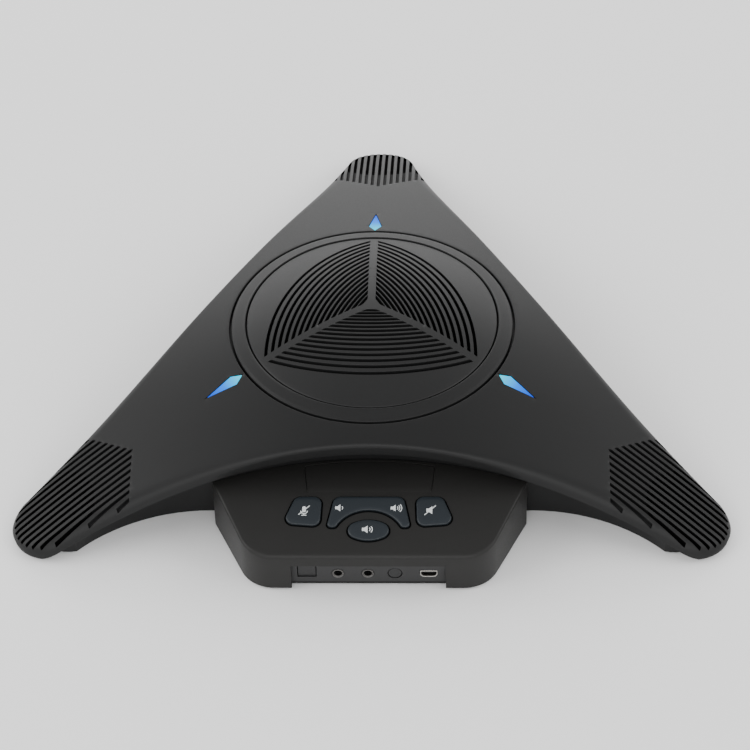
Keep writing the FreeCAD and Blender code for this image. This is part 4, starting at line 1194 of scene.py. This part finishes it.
def blank(name, node, arcs):
    """A blanking plate standing in its hole."""
    front, rear = box_of(node)[0].y - PORT_FACE, box_of(node)[1].y - PORT_FACE
    levels = [(0.0, rear), (0.0, front + 0.2), (0.06, front + 0.06), (0.2, front)]
    rows = [port_layer(ring_loop(arcs, inset), back) for inset, back in levels]
    plate = Build().grid(rows, closed=True).fill(rows[0]).fill(rows[-1])
    make(name, plate, BLANK, nodes=[node])


def port_wall():
    """The wall with its openings, and the blanks in two of them."""
    low, high = box_of("port_panel")
    border = [(low.x, low.z), (high.x, low.z), (high.x, high.z), (low.x, high.z)]
    outlines = [box_arcs("phone_port_blank", BLANK_GAP, 0.5), disc_arcs("power_port_blank", BLANK_GAP),
                disc_arcs("line_in_collar", COLLAR_GAP), disc_arcs("line_out_collar", COLLAR_GAP),
                corner_arcs(polygon(USB_OUTLINE), [0.3] * 6)]
    outer = [ring_loop(arcs, -HOLE_EDGE) for arcs in outlines]
    inner = [ring_loop(arcs, 0.0) for arcs in outlines]
    wall = Build()
    for rims, back, turn in ((outer, 0.0, 1), (inner, high.y - low.y, -1)):
        placed, faces = surface([border, *rims], [], [], lambda x, z: in_loop(border, x, z) and not
                                any(in_loop(rim, x, z) for rim in rims), lambda x, z: back)
        wall.add([(x, PORT_FACE + y, z) for x, z, y in placed], [face[::turn] for face in faces])
    for rim, hole in zip(outer, inner):
        wall.grid([port_layer(rim, 0), port_layer(hole, HOLE_EDGE), port_layer(hole, high.y - low.y)],
                  closed=True)
    wall.grid([port_layer(border, 0), port_layer(border, high.y - low.y)], closed=True)
    make("port_wall", wall, PORT, nodes=["port_panel"])
    blank("phone_blank", "phone_port_blank", box_arcs("phone_port_blank", 0, 0.4))
    blank("power_blank", "power_port_blank", disc_arcs("power_port_blank", 0))


def jacks():
    """Collars round the line sockets, with a stepped bore."""
    for side in ("line_in", "line_out"):
        low, high = box_of(f"{side}_collar")
        x, z, outer = (low.x + high.x) / 2, (low.z + high.z) / 2, (high.x - low.x) / 2
        front, rear = low.y, high.y
        profile = [(outer, rear), (outer, front + 0.35), (outer - 0.1, front + 0.1),
                   (outer - 0.3, front), (outer - 0.5, front + 0.08), (outer - 0.6, front + 0.3),
                   (outer - 0.8, front + 0.4), (outer - 0.8, rear)]
        turns = steps(0, 360, 48)[:-1]
        rows = [[(px, y, pz) for px, pz in (polar(r, a, (x, z)) for a in turns)]
                for r, y in profile + profile[:1]]
        make(f"{side}_rim", Build().grid(rows, closed=True), COLLAR, nodes=[f"{side}_collar"])


def usb_shell():
    """Folded metal mouth round the tongue."""
    arcs = corner_arcs(polygon(USB_OUTLINE), [0.45, 0.45, 0.45, 0.45, 0.35, 0.35])
    low, high = box_of("usb_shell")
    front, rear = low.y - PORT_FACE, high.y - PORT_FACE
    levels = [(0.0, rear), (0.0, front + 0.12), (0.1, front), (0.36, front), (0.46, front + 0.12),
              (0.46, rear - 0.5)]
    rows = [port_layer(ring_loop(arcs, inset), back) for inset, back in levels]
    mouth = Build().grid(rows, closed=True).fill(rows[0])
    mouth.add(rows[-1], [tuple(range(len(rows[-1])))], 1)
    make("usb_mouth", mouth, [NICKEL, PORT], nodes=["usb_shell"])


port_wall()
jacks()
usb_shell()


# --- feet and carried-over CAD nodes ------------------------------------------------------------
def feet():
    """Rubber pads with a shallow ring in their faces."""
    names = [f"foot_{leg}" for leg in LEGS] + ["foot_console_left", "foot_console_right"]
    for name in names:
        low, high = (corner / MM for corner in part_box(name))
        radius, x, y = (high.x - low.x) / 2, (high.x + low.x) / 2, (high.y + low.y) / 2
        profile = [(0.0, high.z), (radius - 0.3, high.z), (radius, high.z - 0.2), (radius, 0.35),
                   (radius - 0.1, 0.12), (radius - 0.35, 0.0), (radius - 1.6, 0.0), (radius - 1.8, 0.12),
                   (radius - 2.3, 0.12), (radius - 2.5, 0.0), (0.0, 0.0)]
        make(f"{name}_pad", lathe(profile, 48, x, y), RUBBER, nodes=[name])


feet()


CAD_MATERIALS = {
    "shell_plastic": SHELL, "port_plastic": PORT, "port_metal": NICKEL, "cloth": CLOTH,
    "rubber": RUBBER, "frame_steel": STEEL, "screw_steel": STEEL, "snap_steel": STEEL,
    "capsule_metal": NICKEL,
    "board": material("solder_mask", (0.02, 0.11, 0.05), 0.3, grain=0.1, coat=0.3),
    "ferrite": material("ferrite", (0.05, 0.05, 0.055), 0.6, grain=0.4, grain_size=0.2),
    "copper_coil": material("copper_wire", (0.6, 0.28, 0.12), 0.35, metallic=1.0, grain=0.6,
                            grain_size=0.15),
    "spider_cloth": woven("spider_cloth", (0.45, 0.3, 0.12), 0.6),
    "cone_paper": material("cone_paper", (0.03, 0.03, 0.03), 0.8, grain=0.6, grain_size=0.8),
}


def dress_nodes():
    """Give each CAD node that still shows its slot's material."""
    for part in frame["record"]["subparts"]:
        node = frame["nodes"][part["node"]]
        if node.hide_render:
            continue
        node.data.materials.clear()
        node.data.materials.append(CAD_MATERIALS[part["material_slot"]])


dress_nodes()


# --- floor, lights and camera -------------------------------------------------------------------
def studio():
    """A pale floor under a soft even sky and four soft boxes."""
    mesh = bpy.data.meshes.new("floor")
    size = 6.0
    corners = [(-size, -size, 0), (size, -size, 0), (size, size, 0), (-size, size, 0)]
    mesh.from_pydata(corners, [], [(0, 1, 2, 3)])
    floor = bpy.data.objects.new("floor", mesh)
    bpy.context.scene.collection.objects.link(floor)
    pale = material("floor_paint", (0.92, 0.92, 0.92), 0.6, mottle=0.005)
    mesh.materials.append(pale)
    world = bpy.data.worlds.new("studio")
    bpy.context.scene.world = world
    world.use_nodes = True
    sky = world.node_tree.nodes["Background"]
    sky.inputs["Color"].default_value = (1, 1, 1, 1)
    sky.inputs["Strength"].default_value = 0.7
    # name, place and size in metres, and power in watts
    boxes = [("back_box", (0.0, 1.7, 0.75), (3.2, 1.2), 27.0),
             ("left_box", (-1.7, -0.1, 1.15), (2.0, 1.2), 30.0),
             ("right_box", (1.7, -0.1, 1.15), (2.0, 1.2), 22.0),
             ("front_box", (0.0, -1.7, 0.9), (2.4, 1.0), 22.0)]
    target = Vector((0, 0, 0.02))
    for name, place, (width, height), power in boxes:
        lamp = bpy.data.lights.new(name, "AREA")
        lamp.shape = "RECTANGLE"
        lamp.size, lamp.size_y = width, height
        lamp.energy = power
        item = bpy.data.objects.new(name, lamp)
        item.location = place
        item.rotation_mode = "QUATERNION"
        item.rotation_quaternion = (target - Vector(place)).to_track_quat("-Z", "Y")
        bpy.context.scene.collection.objects.link(item)


def camera():
    """Looks down from the front at the fitted pitch, with a small yaw and roll."""
    pitch, distance, roll, yaw = math.radians(43.33), 1.304, math.radians(1.67), math.radians(-2.33)
    right_shift, up_shift = -0.0007, -0.0144
    data = bpy.data.cameras.new("camera")
    data.sensor_width = 36.0
    data.lens = 133.7
    data.dof.use_dof = False
    item = bpy.data.objects.new("camera", data)
    bpy.context.scene.collection.objects.link(item)
    bpy.context.scene.camera = item
    back = Vector((0, -math.cos(pitch), math.sin(pitch)))
    up = Vector((0, math.sin(pitch), math.cos(pitch)))
    place = back * distance - up * up_shift - Vector((1, 0, 0)) * right_shift
    c, s = math.cos(-yaw), math.sin(-yaw)

    def turned(vector):
        return Vector((vector.x * c - vector.y * s, vector.x * s + vector.y * c, vector.z))

    item.location = turned(place)
    item.rotation_mode = "QUATERNION"
    across = Vector((math.cos(roll), 0, 0)) - up * math.sin(roll)
    above = Vector((math.sin(roll), 0, 0)) + up * math.cos(roll)
    axes = [turned(axis) for axis in (across, above, back)]
    item.rotation_quaternion = Matrix(axes).transposed().to_quaternion()
    data.clip_start, data.clip_end = 0.05, 30.0


studio()
camera()
